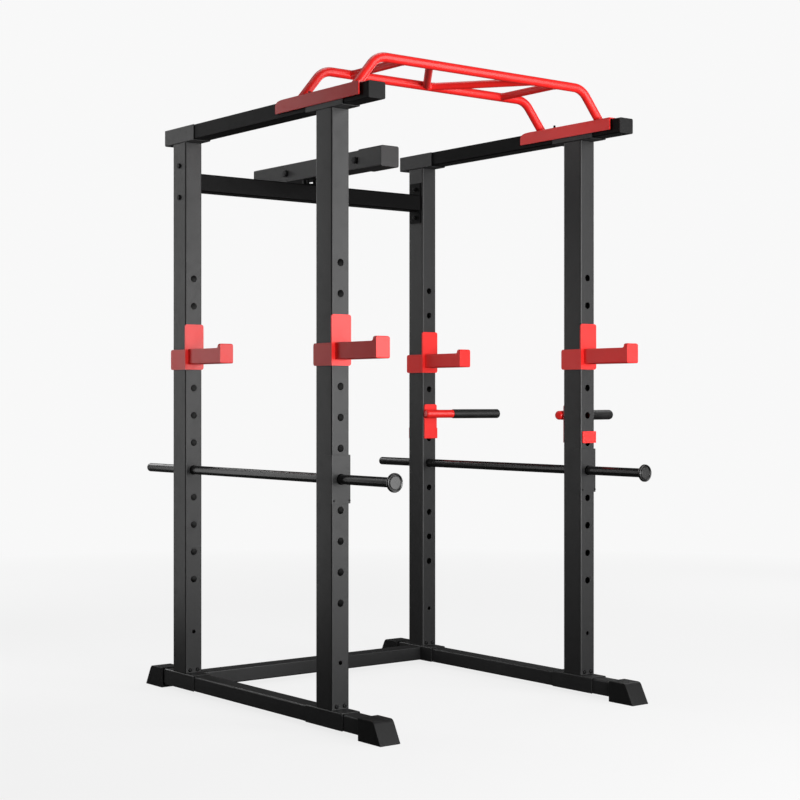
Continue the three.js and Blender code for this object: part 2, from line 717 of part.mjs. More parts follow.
function dipBracket(end) {
  const { facing, farFace, plateBack, plateFace, along } = dipFrame(end);
  const flangeInner = uprightX + UPRIGHT_WIDTH / 2 + RUNNING_GAP;
  const flangeOuter = flangeInner + DIP_FLANGE_PLATE;
  const plateInner = uprightX - UPRIGHT_WIDTH / 2 + DIP_PLATE_INSET;
  const plateOuter = uprightX + UPRIGHT_WIDTH / 2;
  const bottom = dipHeight - HOLE_PITCH; // level with the next hole
  const flange = [bottom, bottom + DIP_FLANGE_HEIGHT];
  const returnInner = farFace - facing * RUNNING_GAP;
  const returnOuter = returnInner - facing * DIP_FLANGE_PLATE;
  const cradle = block(
    [plateInner + DIP_CRADLE_INSET, plateOuter - DIP_CRADLE_INSET],
    [plateFace - facing * PAST, plateFace + facing * DIP_TUBE_RADIUS],
    [dipHeight - DIP_TUBE_RADIUS, dipHeight + DIP_TUBE_RADIUS],
  ).subtract(rod(along(-DIP_TUBE_INSET), along(DIP_TUBE_LENGTH), boreRound(DIP_TUBE_RADIUS)));
  return block([plateInner, plateOuter], [plateBack, plateFace], [bottom, dipHeight + DIP_PLATE_TOP])
    .add(block([plateOuter - PAST, flangeOuter], [plateBack, plateFace], flange))
    .add(block([flangeInner, flangeOuter], [plateFace, returnOuter], flange))
    .add(block([plateInner, flangeOuter], [returnInner, returnOuter], flange))
    .add(cradle)
    .add(rod(
      [uprightX, plateFace - facing * PAST, dipHeight],
      [uprightX, plateBack - facing * PEG_LENGTH, dipHeight],
      pegRadius,
    ));
}

function dipTube(end) {
  const { along } = dipFrame(end);
  return turned([
    ...roundedEnd(DIP_TUBE_RADIUS, DIP_TUBE_ROUND),
    [DIP_TUBE_RADIUS, DIP_TUBE_LENGTH],
    [0, DIP_TUBE_LENGTH],
  ], along(0), along(DIP_TUBE_LENGTH));
}

function dipGrip(end) {
  const { along } = dipFrame(end);
  const bore = boreRound(DIP_TUBE_RADIUS);
  return turned([
    ...roundedEnd(DIP_GRIP_RADIUS, DIP_GRIP_ROUND),
    [DIP_GRIP_RADIUS, DIP_GRIP_LENGTH - DIP_GRIP_MOUTH_ROUND],
    [DIP_GRIP_RADIUS - DIP_GRIP_MOUTH_ROUND / 2, DIP_GRIP_LENGTH],
    [bore, DIP_GRIP_LENGTH],
    [bore, DIP_GRIP_END],
    [0, DIP_GRIP_END],
  ], along(DIP_TUBE_LENGTH + FIT + DIP_GRIP_END), along(0));
}

// ---- safety bars

const safetyFront = -uprightY - SAFETY_FRONT_REACH;
const safetyRear = uprightY + SAFETY_REAR_REACH;
const pipeFront = safetyFront + FLANGE_THICKNESS + FIT;
const pipeRear = safetyRear - PLUG_HEAD - FIT;
const pipeBore = SAFETY_RADIUS - SAFETY_WALL;
const pipeBoss = pipeBore * Math.cos(Math.PI / ROD_FACETS) - FIT; // fits between the bore's flats

function safetyPipe(x) {
  const length = pipeRear - pipeFront;
  return turned([
    [SAFETY_RADIUS, 0],
    [SAFETY_RADIUS, length],
    [pipeBore, length],
    [pipeBore, 0],
    [SAFETY_RADIUS, 0],
  ], [x, pipeFront, safetyHeight], [x, pipeRear, safetyHeight]);
}

function safetyFlange(x) {
  return turned([
    [0, FLANGE_RECESS],
    [FLANGE_RECESS_RADIUS, FLANGE_RECESS],
    [FLANGE_RECESS_RADIUS + FLANGE_RECESS_RUN, 0],
    [FLANGE_RADIUS - FLANGE_ROUND, 0],
    [FLANGE_RADIUS, FLANGE_ROUND],
    [FLANGE_RADIUS, FLANGE_THICKNESS - FLANGE_TAPER],
    [SAFETY_RADIUS + FLANGE_NECK, FLANGE_THICKNESS],
    [pipeBoss, FLANGE_THICKNESS],
    [pipeBoss, FLANGE_THICKNESS + PLUG_LENGTH],
    [0, FLANGE_THICKNESS + PLUG_LENGTH],
  ], [x, safetyFront, safetyHeight], [x, safetyRear, safetyHeight], FLANGE_FACETS);
}

function safetyPlug(x) {
  return turned([
    ...roundedEnd(SAFETY_RADIUS, PLUG_ROUND),
    [SAFETY_RADIUS, PLUG_HEAD],
    [pipeBoss, PLUG_HEAD],
    [pipeBoss, PLUG_HEAD + PLUG_LENGTH],
    [0, PLUG_HEAD + PLUG_LENGTH],
  ], [x, safetyRear, safetyHeight], [x, safetyFront, safetyHeight]);
}

// ---- collars: a plate on the upright's front with two cheeks back along its sides

function collar(x) {
  const inner = UPRIGHT_WIDTH / 2 + FIT;
  const outer = inner + COLLAR_PLATE;
  const plateBack = -uprightY - UPRIGHT_DEPTH / 2 - FIT;
  const heights = [safetyHeight - COLLAR_HEIGHT / 2, safetyHeight + COLLAR_HEIGHT / 2];
  let body = block([x - outer, x + outer], [plateBack - COLLAR_PLATE, plateBack], heights);
  for (const side of [-1, 1]) {
    body = body.add(block(
      [x + side * inner, x + side * outer],
      [plateBack - COLLAR_PLATE, plateBack - COLLAR_PLATE + COLLAR_SIDE_DEPTH],
      heights,
    ));
  }
  const front = [x, plateBack - COLLAR_PLATE - PAST, safetyHeight];
  return body.subtract(drill(front, [x, plateBack + PAST, safetyHeight], safetyBore));
}

// ---------------------------------------------------------------- put together

for (const [sideName, side] of sides) {
  const x = side * uprightX;
  for (const [endName, end] of ends) {
    const where = `${endName}_${sideName}`;
    place(`upright_${where}`, upright(x, end), charcoal());
    place(`top_saddle_${where}`, saddle(x, end * uprightY, uprightTop + FIT, true), charcoal());
    place(`base_saddle_${where}`, saddle(x, end * uprightY, baseRailTop + FIT, false), charcoal());
    place(`top_rail_cap_${where}`, railCap(x, end < 0 ? topRailFront : topRailRear, end), plastic());
    place(`foot_${where}`, foot(x, end < 0 ? frontFootTip : rearFootTip, end), plastic());
    place(`bar_hook_${where}`, barHook(x, end), red());
  }
  const topCentre = [x, topRailMiddle, topRailCentreHeight];
  const baseCentre = [x, baseRailMiddle, baseRailCentreHeight];
  const baseLength = baseRailRear - baseRailFront;
  const rail = (length, centre) => rectangularTube(RAIL_WIDTH, RAIL_HEIGHT, RAIL_WALL, 'y', length, centre);
  place(`top_rail_${sideName}`, rail(topRailLength, topCentre), black());
  place(`base_rail_${sideName}`, rail(baseLength, baseCentre), black());
  place(`pullup_bracket_${sideName}`, pullupBracket(x), red());
  place(`safety_bar_${sideName}`, safetyPipe(x), black());
  place(`safety_bar_flange_${sideName}`, safetyFlange(x), black());
  place(`safety_bar_plug_${sideName}`, safetyPlug(x), plastic());
  place(`collar_${sideName}`, collar(x), charcoal());
  place(`cross_bolt_lower_${sideName}`, crossBolt(side, crossBoltHeights[0]), boltSteel());
  place(`cross_bolt_upper_${sideName}`, crossBolt(side, crossBoltHeights[1]), boltSteel());
  place(`pullup_outer_grip_${sideName}`, grip(side * outerGripX, side * outerGripX), red());
  place(`pullup_inner_grip_${sideName}`, grip(side * innerGripX, side * INNER_GRIP_REAR_X), red());
}

for (const [endName, end] of ends) {
  place(`dip_bracket_${endName}`, dipBracket(end), red());
  place(`dip_tube_${endName}`, dipTube(end), red());
  place(`dip_grip_${endName}`, dipGrip(end), rubber());
}

place('rear_upper_crossmember', upperCrossmember(), black());
place('rear_floor_crossmember', floorCrossmember(), charcoal());
place('cable_beam', cableBeam(), charcoal());
place('cable_beam_sleeve', beamSleeve(), charcoal());
place('cable_beam_cap', beamCap(), plastic());
place('cable_beam_mount', beamMount(), black());
place('pullup_front_bar', pullupBar(frontBarY), red());
place('pullup_rear_bar', pullupBar(rearBarY), red());

// The origin goes to the middle of the footprint, on the floor.
const extent = new THREE.Box3().setFromObject(rack);
rack.position.set(-(extent.min.x + extent.max.x) / 2, -(extent.min.y + extent.max.y) / 2, -extent.min.z);
rack.updateMatrixWorld(true);

export default rack;
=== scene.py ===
"""Finished surfaces for a free-standing power cage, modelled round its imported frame.

Every piece is worked out in metres in the frame's own axes: +Z is up, -Y is the open front, and left
and right are as seen from the front.
"""

import json
import math
from contextlib import contextmanager

import bmesh
import bpy
from bpy.props import FloatProperty, FloatVectorProperty, IntProperty, PointerProperty
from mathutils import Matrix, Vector


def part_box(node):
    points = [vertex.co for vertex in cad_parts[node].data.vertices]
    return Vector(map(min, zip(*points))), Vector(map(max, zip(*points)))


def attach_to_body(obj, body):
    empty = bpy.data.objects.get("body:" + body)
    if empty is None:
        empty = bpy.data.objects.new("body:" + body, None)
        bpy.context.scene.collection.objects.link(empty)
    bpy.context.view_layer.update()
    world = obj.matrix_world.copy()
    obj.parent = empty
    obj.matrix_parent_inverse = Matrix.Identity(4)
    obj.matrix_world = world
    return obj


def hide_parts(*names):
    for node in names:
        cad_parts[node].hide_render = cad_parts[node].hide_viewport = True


bl_info = {
    "name": "Power Cage Finisher",
    "version": (1, 0, 0),
    "blender": (4, 5, 0),
    "location": "View3D > Sidebar > Cage",
    "description": "Models the visible pieces of a power cage round its frame",
    "category": "Object",
}

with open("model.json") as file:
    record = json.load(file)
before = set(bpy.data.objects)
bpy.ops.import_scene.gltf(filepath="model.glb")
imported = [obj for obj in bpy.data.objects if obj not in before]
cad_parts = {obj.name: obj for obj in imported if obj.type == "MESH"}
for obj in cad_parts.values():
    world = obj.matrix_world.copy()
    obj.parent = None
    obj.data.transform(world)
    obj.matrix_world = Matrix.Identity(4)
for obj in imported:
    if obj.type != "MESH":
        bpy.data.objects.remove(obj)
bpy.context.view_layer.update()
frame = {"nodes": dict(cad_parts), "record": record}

ENDS = ("front", "rear")
SIDES = ("left", "right")
CORNERS = [f"{end}_{side}" for end in ENDS for side in SIDES]
FRAME_BOLT = ("frame", "bolt_steel")
X, Y, Z = (Vector(axis) for axis in ((1, 0, 0), (0, 1, 0), (0, 0, 1)))
WHITE = (1, 1, 1, 1)

CLOSE = 0.0004  # places this near each other count as the same
WELD_DOUBLES = 0.00002  # corners of a node's loose triangles this near are merged
FLAT = math.radians(0.5)  # faces that turn less than this become one
HOLE_SIDES = 40

BODY_OF = {
    node: body
    for body, nodes in frame["record"]["behaviour"]["bodies"].items()
    for node in nodes
}
SLOT_OF = {part["node"]: part["material_slot"] for part in frame["record"]["subparts"]}

# ---- places in the frame


def low(node):
    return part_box(node)[0]


def high(node):
    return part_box(node)[1]


def middle(node):
    return (low(node) + high(node)) / 2


def named(kind, places):
    """The nodes of one kind, at the places that their names end with."""
    return [f"{kind}_{place}" for place in places]


def half(node, axis):
    """Half a node's size along x, y or z."""
    return (getattr(high(node), axis) - getattr(low(node), axis)) / 2


def at(point, x=None, y=None, z=None):
    """The point with some of its coordinates replaced."""
    given = (x, y, z)
    return Vector(old if new is None else new for old, new in zip(point, given))


# ---- sizes and colours that a user may change


def length(label, description, default):
    return FloatProperty(
        name=label, description=description, default=default, min=0, unit="LENGTH", precision=4
    )


def colour(label, description, default):
    return FloatVectorProperty(
        name=label, description=description, default=default, min=0, max=1, size=3, subtype="COLOR"
    )


def power(label, description, default):
    return FloatProperty(name=label, description=description, default=default, min=0, unit="POWER")


def angle(label, description, degrees):
    return FloatProperty(
        name=label, description=description, default=math.radians(degrees), subtype="ANGLE"
    )


class CageSizes(bpy.types.PropertyGroup):
    """Sizes of the tubes, holes, plates and fasteners"""

    tube_corner: length("Tube corner", "Outside radius of a tube's corners", 0.005)
    post_wall: length("Post wall", "Wall of the uprights", 0.003)
    rail_wall: length("Rail wall", "Wall of the rails, crossmembers and cable beam", 0.0025)
    edge: length("Edge", "Rounding of cut steel edges", 0.0007)
    fold: length("Fold", "Outside radius where a plate is folded", 0.004)
    plastic_edge: length("Plastic edge", "Rounding of moulded edges", 0.004)
    hole_radius: length("Hole radius", "Radius of the peg holes", 0.011)
    lowest_hole: length("Lowest hole", "Height of the lowest peg hole", 0.385)
    hole_pitch: length("Hole pitch", "Distance between peg holes", 0.0925)
    hole_count: IntProperty(name="Holes", description="Peg holes in an upright", default=12, min=1)
    pin_hole_radius: length("Pin hole radius", "Radius of the small hole near the foot", 0.0065)
    pin_hole_height: length("Pin hole height", "Height of the small hole near the foot", 0.207)
    bar_gap: length("Bar gap", "Clearance round a safety bar in its bores", 0.001)
    bar_lean: angle("Bar lean", "Angle between a pull-up bar's risers and the vertical", 39.7)
    bar_bend: length("Bar bend", "Radius of a pull-up bar's bends, on its centre line", 0.070)
    weld: length("Weld", "Thickness of a weld bead", 0.0022)
    hook_corner: length("Hook corner", "Radius of a hook plate's corners", 0.008)
    arm_edge: length("Arm edge", "Rounding of a hook arm's lower edges", 0.005)
    bolt_head: length("Bolt head", "Radius of a foot bolt's head", 0.0068)
    screw_head: length("Screw head", "Radius of a collar screw's head", 0.0034)


class CageColours(bpy.types.PropertyGroup):
    """Colours of the paint, plastic, rubber and fasteners"""

    charcoal: colour("Charcoal", "Powder coat of the posts, saddles, base rails and beam", (0.0105, 0.0105, 0.0108))
    black: colour("Black", "Powder coat of the top rails and upper crossmember", (0.0034, 0.0034, 0.0035))
    pipe: colour("Pipe black", "Smooth paint of the safety bars", (0.0040, 0.0040, 0.0041))
    red: colour("Red", "Powder coat of the hooks, handles and pull-up bar", (0.88, 0.020, 0.017))
    plastic: colour("Plastic", "Feet, caps and plugs", (0.0050, 0.0050, 0.0051))
    rubber: colour("Rubber", "Grips of the dip handles", (0.0045, 0.0045, 0.0045))
    steel: colour("Steel", "Blackened bolts, nuts and screws", (0.010, 0.010, 0.0105))


class CageStudio(bpy.types.PropertyGroup):
    """Camera, lights and floor"""

    camera_offset: FloatVectorProperty(
        name="Camera offset",
        description="From the middle of the uprights, at floor level, to the camera",
        default=(-3.414, -4.474, 0.992),
        size=3,
        subtype="TRANSLATION",
        unit="LENGTH",
    )
    camera_turn: angle("Camera turn", "How far the camera looks to the right of straight ahead", 37.951)
    lens: FloatProperty(name="Lens", description="Focal length in millimetres", default=74.52, min=1)
    key_power: power("Key power", "Front right light", 70)
    side_power: power("Side power", "Rear left light", 9.5)
    fill_power: power("Fill power", "Front light", 170)
    top_power: power("Top power", "Overhead light", 42)
    back_power: power("Back power", "Rear lights", 45)
    backdrop: FloatProperty(name="Backdrop", description="Brightness behind the cage", default=0.94, min=0)
    room: FloatProperty(name="Room", description="Brightness of the unlit room", default=0.05, min=0)


# ---- shader nodes


class Wire:
    """A socket's value in a shader. Arithmetic on it adds Math nodes."""

    def __init__(self, shader, socket):
        self.shader = shader
        self.socket = socket

    def maths(self, operation, first, second=0.0, clamp=False):
        settings = {"operation": operation, "use_clamp": clamp}
        return self.shader.node("ShaderNodeMath", settings, {0: first, 1: second})

    def __add__(self, other):
        return self.maths("ADD", self, other)

    def __radd__(self, other):
        return self.maths("ADD", other, self)

    def __sub__(self, other):
        return self.maths("SUBTRACT", self, other)

    def __rsub__(self, other):
        return self.maths("SUBTRACT", other, self)

    def __mul__(self, other):
        return self.maths("MULTIPLY", self, other)

    def __rmul__(self, other):
        return self.maths("MULTIPLY", other, self)

    def clamped(self):
        return self.maths("ADD", self, 0.0, clamp=True)


class Shader:
    """The nodes of a material or a world while they are put together."""

    edge_onset = 0.98
    edge_gain = 6.0

    def __init__(self, owner):
        self.owner = owner
        owner.use_nodes = True
        self.tree = owner.node_tree
        self.tree.nodes.clear()

    def node(self, kind, settings=None, inputs=None, output=0):
        """Adds a node, sets it up, then fills or links its inputs, and gives one of its outputs."""
        made = self.tree.nodes.new(kind)
        for name, value in (settings or {}).items():
            if name == "stops":
                for element, (position, shade) in zip(made.color_ramp.elements, value):
                    element.position = position
                    element.color = (shade, shade, shade, 1)
            else:
                setattr(made, name, value)
        for name, value in (inputs or {}).items():
            if isinstance(value, Wire):
                self.tree.links.new(value.socket, made.inputs[name])
            else:
                made.inputs[name].default_value = value
        return Wire(self, made.outputs[output]) if made.outputs else None

    def noise(self, scale, detail=2.0, roughness=0.5):
        """A noise pattern fixed to the piece, with about this many features to the metre."""
        place = self.node("ShaderNodeTexCoord", output="Object")
        inputs = {"Vector": place, "Scale": scale, "Detail": detail, "Roughness": roughness}
        return self.node("ShaderNodeTexNoise", inputs=inputs)

    def ramp(self, value, start, end):
        """0 below start, 1 above end."""
        settings = {"stops": ((start, 0.0), (end, 1.0))}
        return self.node("ShaderNodeValToRGB", settings, {"Fac": value})

    def blend(self, factor, first, second):
        """A colour between two others."""
        settings = {"data_type": "RGBA"}
        inputs = {"Factor": factor, 6: first, 7: second}
        return self.node("ShaderNodeMix", settings, inputs, output=2)

    def edges(self, radius):
        """1 on convex and concave edges, falling to 0 on flat and gently round faces."""
        rounded = self.node("ShaderNodeBevel", {"samples": 4}, {"Radius": radius})
        flat = self.node("ShaderNodeNewGeometry", output="Normal")
        settings = {"operation": "DOT_PRODUCT"}
        likeness = self.node("ShaderNodeVectorMath", settings, {0: rounded, 1: flat}, output=1)
        return ((self.edge_onset - likeness) * self.edge_gain).clamped()

    def bump(self, height, distance, strength=1.0):
        inputs = {"Height": height, "Distance": distance, "Strength": strength}
        return self.node("ShaderNodeBump", inputs=inputs)

    def surface(self, **inputs):
        """Ends the material in a Principled shader."""
        names = {name.replace("_", " "): value for name, value in inputs.items()}
        shaded = self.node("ShaderNodeBsdfPrincipled", inputs=names)
        self.node("ShaderNodeOutputMaterial", inputs={"Surface": shaded})
        return self.owner


def opaque(shade, factor=1.0):
    """A colour with full alpha, made lighter or darker."""
    return (*(min(1.0, channel * factor) for channel in shade), 1.0)


def powder_coat(name, shade, roughness, gloss, painted_edge_highlight, peel):
    """Sprayed and baked paint: a fine pebbled skin, with a painted highlight that lightens it along edges."""
    shader = Shader(bpy.data.materials.new(name))
    drift = shader.noise(4.5, detail=3.0)
    grain = shader.noise(950.0, detail=2.0)
    skin = shader.noise(330.0, detail=1.0)
    scuff = shader.ramp(shader.noise(26.0, detail=6.0, roughness=0.7), 0.50, 0.72)
    paint = shader.blend(drift, opaque(shade, 0.90), opaque(shade, 1.12))
    # Painted highlight: edges lightened towards a paler shade of the paint, weaker where the scuff pattern is low.
    lightened_edges = (shader.edges(0.0015) * (0.35 + 0.65 * scuff)) * painted_edge_highlight
    shown = shader.blend(lightened_edges, paint, opaque([0.5 * channel + 0.10 for channel in shade]))
    return shader.surface(
        Base_Color=shown,
        Roughness=((roughness - 0.06) + 0.10 * drift + 0.07 * scuff).clamped(),
        Normal=shader.bump(0.65 * skin + 0.35 * grain, peel),
        Specular_IOR_Level=gloss,
        IOR=1.5,
    )


def moulded_plastic(name, shade):
    """Injection-moulded plastic with a spark-eroded skin, paler where it has been handled."""
    shader = Shader(bpy.data.materials.new(name))
    drift = shader.noise(7.0, detail=3.0)
    grain = shader.noise(1400.0, detail=3.0, roughness=0.65)
    handled = shader.edges(0.0025) * (0.3 + 0.7 * drift) * 0.35
    shown = shader.blend(handled, opaque(shade), opaque([channel + 0.035 for channel in shade]))
    return shader.surface(
        Base_Color=shown,
        Roughness=(0.50 + 0.14 * drift).clamped(),
        Normal=shader.bump(grain, 0.00022),
        Specular_IOR_Level=0.3,
        IOR=1.46,
    )


def grip_rubber(name, shade):
    """Dense foam rubber with closed pores and a slight bloom."""
    shader = Shader(bpy.data.materials.new(name))
    place = shader.node("ShaderNodeTexCoord", output="Object")
    pores = shader.node("ShaderNodeTexVoronoi", inputs={"Vector": place, "Scale": 620.0})
    bloom = shader.noise(19.0, detail=4.0)
    shown = shader.blend(shader.ramp(bloom, 0.45, 0.8) * 0.5, opaque(shade), opaque([0.022] * 3))
    return shader.surface(
        Base_Color=shown,
        Roughness=(0.42 + 0.18 * bloom).clamped(),
        Normal=shader.bump(pores, 0.00035, strength=0.6),
        IOR=1.5,
    )


def blackened_steel(name, shade):
    """Bolts with a black oxide skin, brighter where a spanner has turned them."""
    shader = Shader(bpy.data.materials.new(name))
    mottle = shader.noise(240.0, detail=4.0)
    lightened_edges = shader.edges(0.0008) * shader.ramp(mottle, 0.35, 0.65) * 0.6
    shown = shader.blend(lightened_edges, opaque(shade), opaque([0.22] * 3))
    return shader.surface(
        Base_Color=shown,
        Metallic=0.75,
        Roughness=(0.34 + 0.22 * mottle).clamped(),
        Normal=shader.bump(mottle, 0.00008),
    )


FINISHES = {}


def make_finishes(colours):
    """One material for each slot of the record."""
    # Columns: slot, material, colour, roughness, specular level, strength of the painted edge highlight, bump
    # depth.
    coats = (
        ("charcoal_powder_coat", "charcoal_paint", colours.charcoal, 0.42, 0.50, 0.25, 0.00022),
        ("black_powder_coat", "black_paint", colours.black, 0.38, 0.07, 0.10, 0.00020),
        ("gloss_black_paint", "gloss_black_paint", colours.pipe, 0.27, 0.60, 0.20, 0.00006),
        ("red_powder_coat", "red_paint", colours.red, 0.34, 0.50, 0.22, 0.00016),
    )
    for slot, name, shade, roughness, gloss, painted_edge_highlight, peel in coats:
        FINISHES[slot] = powder_coat(name, shade, roughness, gloss, painted_edge_highlight, peel)
    FINISHES["black_plastic"] = moulded_plastic("black_moulding", colours.plastic)
    FINISHES["grip_rubber"] = grip_rubber("foam_rubber", colours.rubber)
    FINISHES["bolt_steel"] = blackened_steel("oxide_steel", colours.steel)


# ---- modelling by hand


def deselect():
    bpy.ops.object.select_all(action="DESELECT")


def choose_all():
    """In edit mode, selects everything."""
    bpy.ops.mesh.select_all(action="SELECT")


def face_outwards():
    """In edit mode, turns every face outwards."""
    choose_all()
    bpy.ops.mesh.normals_make_consistent(inside=False)


def activate(piece):
    """Makes a piece the only one selected."""
    deselect()
    piece.select_set(True)
    bpy.context.view_layer.objects.active = piece


def settle(piece):
    """Puts a new primitive's place, turn and size into its mesh."""
    activate(piece)
    bpy.ops.object.transform_apply(location=True, rotation=True, scale=True)
    return piece


@contextmanager
def editing(piece):
    activate(piece)
    bpy.ops.object.mode_set(mode="EDIT")
    yield
    bpy.ops.object.mode_set(mode="OBJECT")


def choose(piece, kind, test):
    """In edit mode, selects the faces or edges whose middle and direction pass a test."""
    bpy.ops.mesh.select_mode(type=kind)
    bpy.ops.mesh.select_all(action="DESELECT")
    mesh = bmesh.from_edit_mesh(piece.data)
    if kind == "FACE":
        for face in mesh.faces:
            face.select_set(bool(test(face.calc_center_median(), face.normal)))
    else:
        for edge in mesh.edges:
            first, second = (vertex.co for vertex in edge.verts)
            edge.select_set(bool(test((first + second) / 2, (second - first).normalized())))
    bmesh.update_edit_mesh(piece.data)


def near(value, wanted, reach=CLOSE):
    return abs(value - wanted) < reach


def along(direction, axis):
    return abs(direction.dot(axis)) > 0.999


def modify(piece, kind, **settings):
    """Adds a modifier and applies it."""
    activate(piece)
    modifier = piece.modifiers.new(kind, kind)
    for name, value in settings.items():
        setattr(modifier, name, value)
    bpy.ops.object.modifier_apply(modifier=modifier.name)


def soften(piece, width, segments=2, limit=50.0):
    """Rounds the sharp edges, and shades the rest smooth with flat faces kept flat."""
    if width > 0:
        modify(
            piece,
            "BEVEL",
            width=width,
            segments=segments,
            limit_method="ANGLE",
            angle_limit=math.radians(limit),
        )
    activate(piece)
    bpy.ops.object.shade_smooth_by_angle(angle=math.radians(limit))
    modify(piece, "WEIGHTED_NORMAL", keep_sharp=True)


def block(lowest, highest):
    """A box from its lowest to its highest corner."""
    deselect()
    bpy.ops.mesh.primitive_cube_add(size=1, location=(lowest + highest) / 2)
    piece = bpy.context.object
    piece.scale = highest - lowest
    return settle(piece)


def ring(point, direction, radius, sides, fill):
    """A circle about a direction."""
    turn = Z.rotation_difference(direction).to_euler()
    deselect()
    bpy.ops.mesh.primitive_circle_add(
        vertices=sides, radius=radius, fill_type=fill, location=point, rotation=turn
    )
    return settle(bpy.context.object)


def turned(point, direction, profile, sides=48):
    """A closed round piece: a disc pushed along a direction, and resized, from one (distance, radius)
    of its profile to the next."""
    direction = direction.normalized()
    (distance, radius), *steps = profile
    piece = ring(point + direction * distance, direction, radius, sides, "NGON")
    with editing(piece):
        choose_all()
        for next_distance, next_radius in steps:
            move = direction * (next_distance - distance)
            bpy.ops.mesh.extrude_region_move(TRANSFORM_OT_translate={"value": move})
            share = next_radius / radius
            centre = point + direction * next_distance
            bpy.ops.transform.resize(value=(share, share, share), center_override=centre)
            distance, radius = next_distance, next_radius
        face_outwards()
    return piece


def rounded(distance, radius, corner, facing, steps=4):
    """Profile points round a corner that ends a rod: facing -1 at its start and 1 at its end."""
    points = []
    for step in range(steps + 1):
        sweep = math.pi / 2 * step / steps
        if facing < 0:
            sweep = math.pi / 2 - sweep
        points.append((
            distance - facing * corner * (1 - math.sin(sweep)),
            radius - corner * (1 - math.cos(sweep)),
        ))
    return points


def tube(lowest, highest, axis, wall, corner):
    """A rectangular tube with rounded corners, open at both ends."""
    piece = block(lowest, highest)
    with editing(piece):
        choose(piece, "EDGE", lambda place, direction: along(direction, axis))
        bpy.ops.mesh.bevel(offset=corner, segments=5, affect="EDGES")
        choose(piece, "FACE", lambda place, normal: along(normal, axis))
        bpy.ops.mesh.delete(type="FACE")
    modify(piece, "SOLIDIFY", thickness=wall, offset=-1, use_even_offset=True)
    return piece


def drill(piece, holes, direction, depth):
    """Cuts round holes, given as (middle, radius), right through a piece."""
    cutters = []
    for place, radius in holes:
        start = place - direction * depth / 2
        cutters.append(turned(start, direction, [(0, radius), (depth, radius)], sides=HOLE_SIDES))
    activate(cutters[0])
    for cutter in cutters:
        cutter.select_set(True)
    bpy.ops.object.join()
    cutter = bpy.context.object
    modify(piece, "BOOLEAN", operation="DIFFERENCE", solver="EXACT", object=cutter)
    bpy.data.objects.remove(cutter)


def round_off(piece, corner, axis, inward, radius, reach):
    """Rounds a corner where thin plates meet, by cutting with a block that has a round bite out of it."""
    centre = corner + inward * radius
    ends = (corner - inward * radius / 4 - axis * reach, centre + axis * reach)
    lowest = Vector(min(pair) for pair in zip(*ends))
    highest = Vector(max(pair) for pair in zip(*ends))
    cutter = block(lowest, highest)
    drill(cutter, [(centre, radius)], axis, 3 * reach)
    modify(piece, "BOOLEAN", operation="DIFFERENCE", solver="EXACT", object=cutter)
    bpy.data.objects.remove(cutter)


def drawn_over(node):
    """A merged copy of a node, with its flat faces whole, to be worked on."""
    source = frame["nodes"][node]
    piece = source.copy()
    piece.data = source.data.copy()
    piece.parent = None
    piece.hide_render = False
    piece.hide_viewport = False
    for key in list(piece.keys()):
        del piece[key]
    bpy.context.scene.collection.objects.link(piece)
    with editing(piece):
        choose_all()
        bpy.ops.mesh.remove_doubles(threshold=WELD_DOUBLES)
        bpy.ops.mesh.dissolve_limited(angle_limit=FLAT)
    return piece


def bevel_edges(piece, width, segments, test):
    with editing(piece):
        choose(piece, "EDGE", test)
        bpy.ops.mesh.bevel(offset=width, segments=segments, affect="EDGES", clamp_overlap=True)


def join(pieces):
    activate(pieces[0])
    for piece in pieces:
        piece.select_set(True)
    bpy.ops.object.join()
    return bpy.context.object


def moved_copy(piece, shift):
    """A copy with its own mesh, moved."""
    activate(piece)
    bpy.ops.object.duplicate(linked=False)
    twin = bpy.context.object
    twin.location = shift
    return settle(twin)


def attach(piece, name, body, slot):
    """Names a piece, gives it its finish and lets it move with a body."""
    piece.name = name
    piece.data.name = name
    piece.data.materials.clear()
    piece.data.materials.append(FINISHES[slot])
    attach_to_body(piece, body)
    return piece


def stand_for(piece, node):
    """Files a piece under the node whose place it takes."""
    attach(piece, f"finished_{node}", BODY_OF[node], SLOT_OF[node])
    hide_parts(node)


def finish(piece, nodes, width, **settings):
    """Rounds a piece's edges and stands it, and copies of it, for the nodes of its shape."""
    soften(piece, width, **settings)
    twins = [moved_copy(piece, low(node) - low(nodes[0])) for node in nodes[1:]]
    for twin, node in zip([piece, *twins], nodes):
        stand_for(twin, node)


def fold_channel(piece, node, height, size):
    """Rounds the two folds, at a height, of a channel that runs front to back."""
    centre = middle(node).x
    nearly_out = half(node, "x") - size.edge

    def on_fold(place, direction):
        outer = abs(place.x - centre) > nearly_out
        return outer and along(direction, Y) and near(place.z, height)

    bevel_edges(piece, size.fold, 5, on_fold)


def assembled(parts, width):
    """The parts of one bolt, with their edges rounded, as one piece."""
    for part in parts:
        soften(part, width)
    return join(parts)


def hexagon_head(point, direction, radius, height):
    """A bolt head or nut with chamfered corners."""
    chamfer = 0.12 * height
    profile = [(0, radius), (height - chamfer, radius), (height, radius - chamfer)]
    return turned(point, direction, profile, sides=6)


def button_head(point, direction, radius, height):
    """A low domed screw head with a socket."""
    rim = 0.25 * height
    profile = [(0, radius), *rounded(height, radius, height - rim, 1)]
    socket = 0.42 * radius
    profile += [(height, socket), (height - 0.5 * height, socket * 0.98)]
    return turned(point, direction, profile, sides=32)


def bead(point, direction, radius, weld, lean=0.0):
    """A ring of weld round a bar that meets a plate, stretched where the bar leans over in X."""
    turn = Z.rotation_difference(direction).to_euler()
    deselect()
    bpy.ops.mesh.primitive_torus_add(
        major_segments=48,
        minor_segments=10,
        major_radius=radius,
        minor_radius=weld,
        location=point,
        rotation=turn,
    )
    piece = bpy.context.object
    piece.scale = (1 / math.cos(lean), 1, 1)
    settle(piece)
    activate(piece)
    bpy.ops.object.shade_smooth()
    return piece


# ---- operators, one for each group of pieces


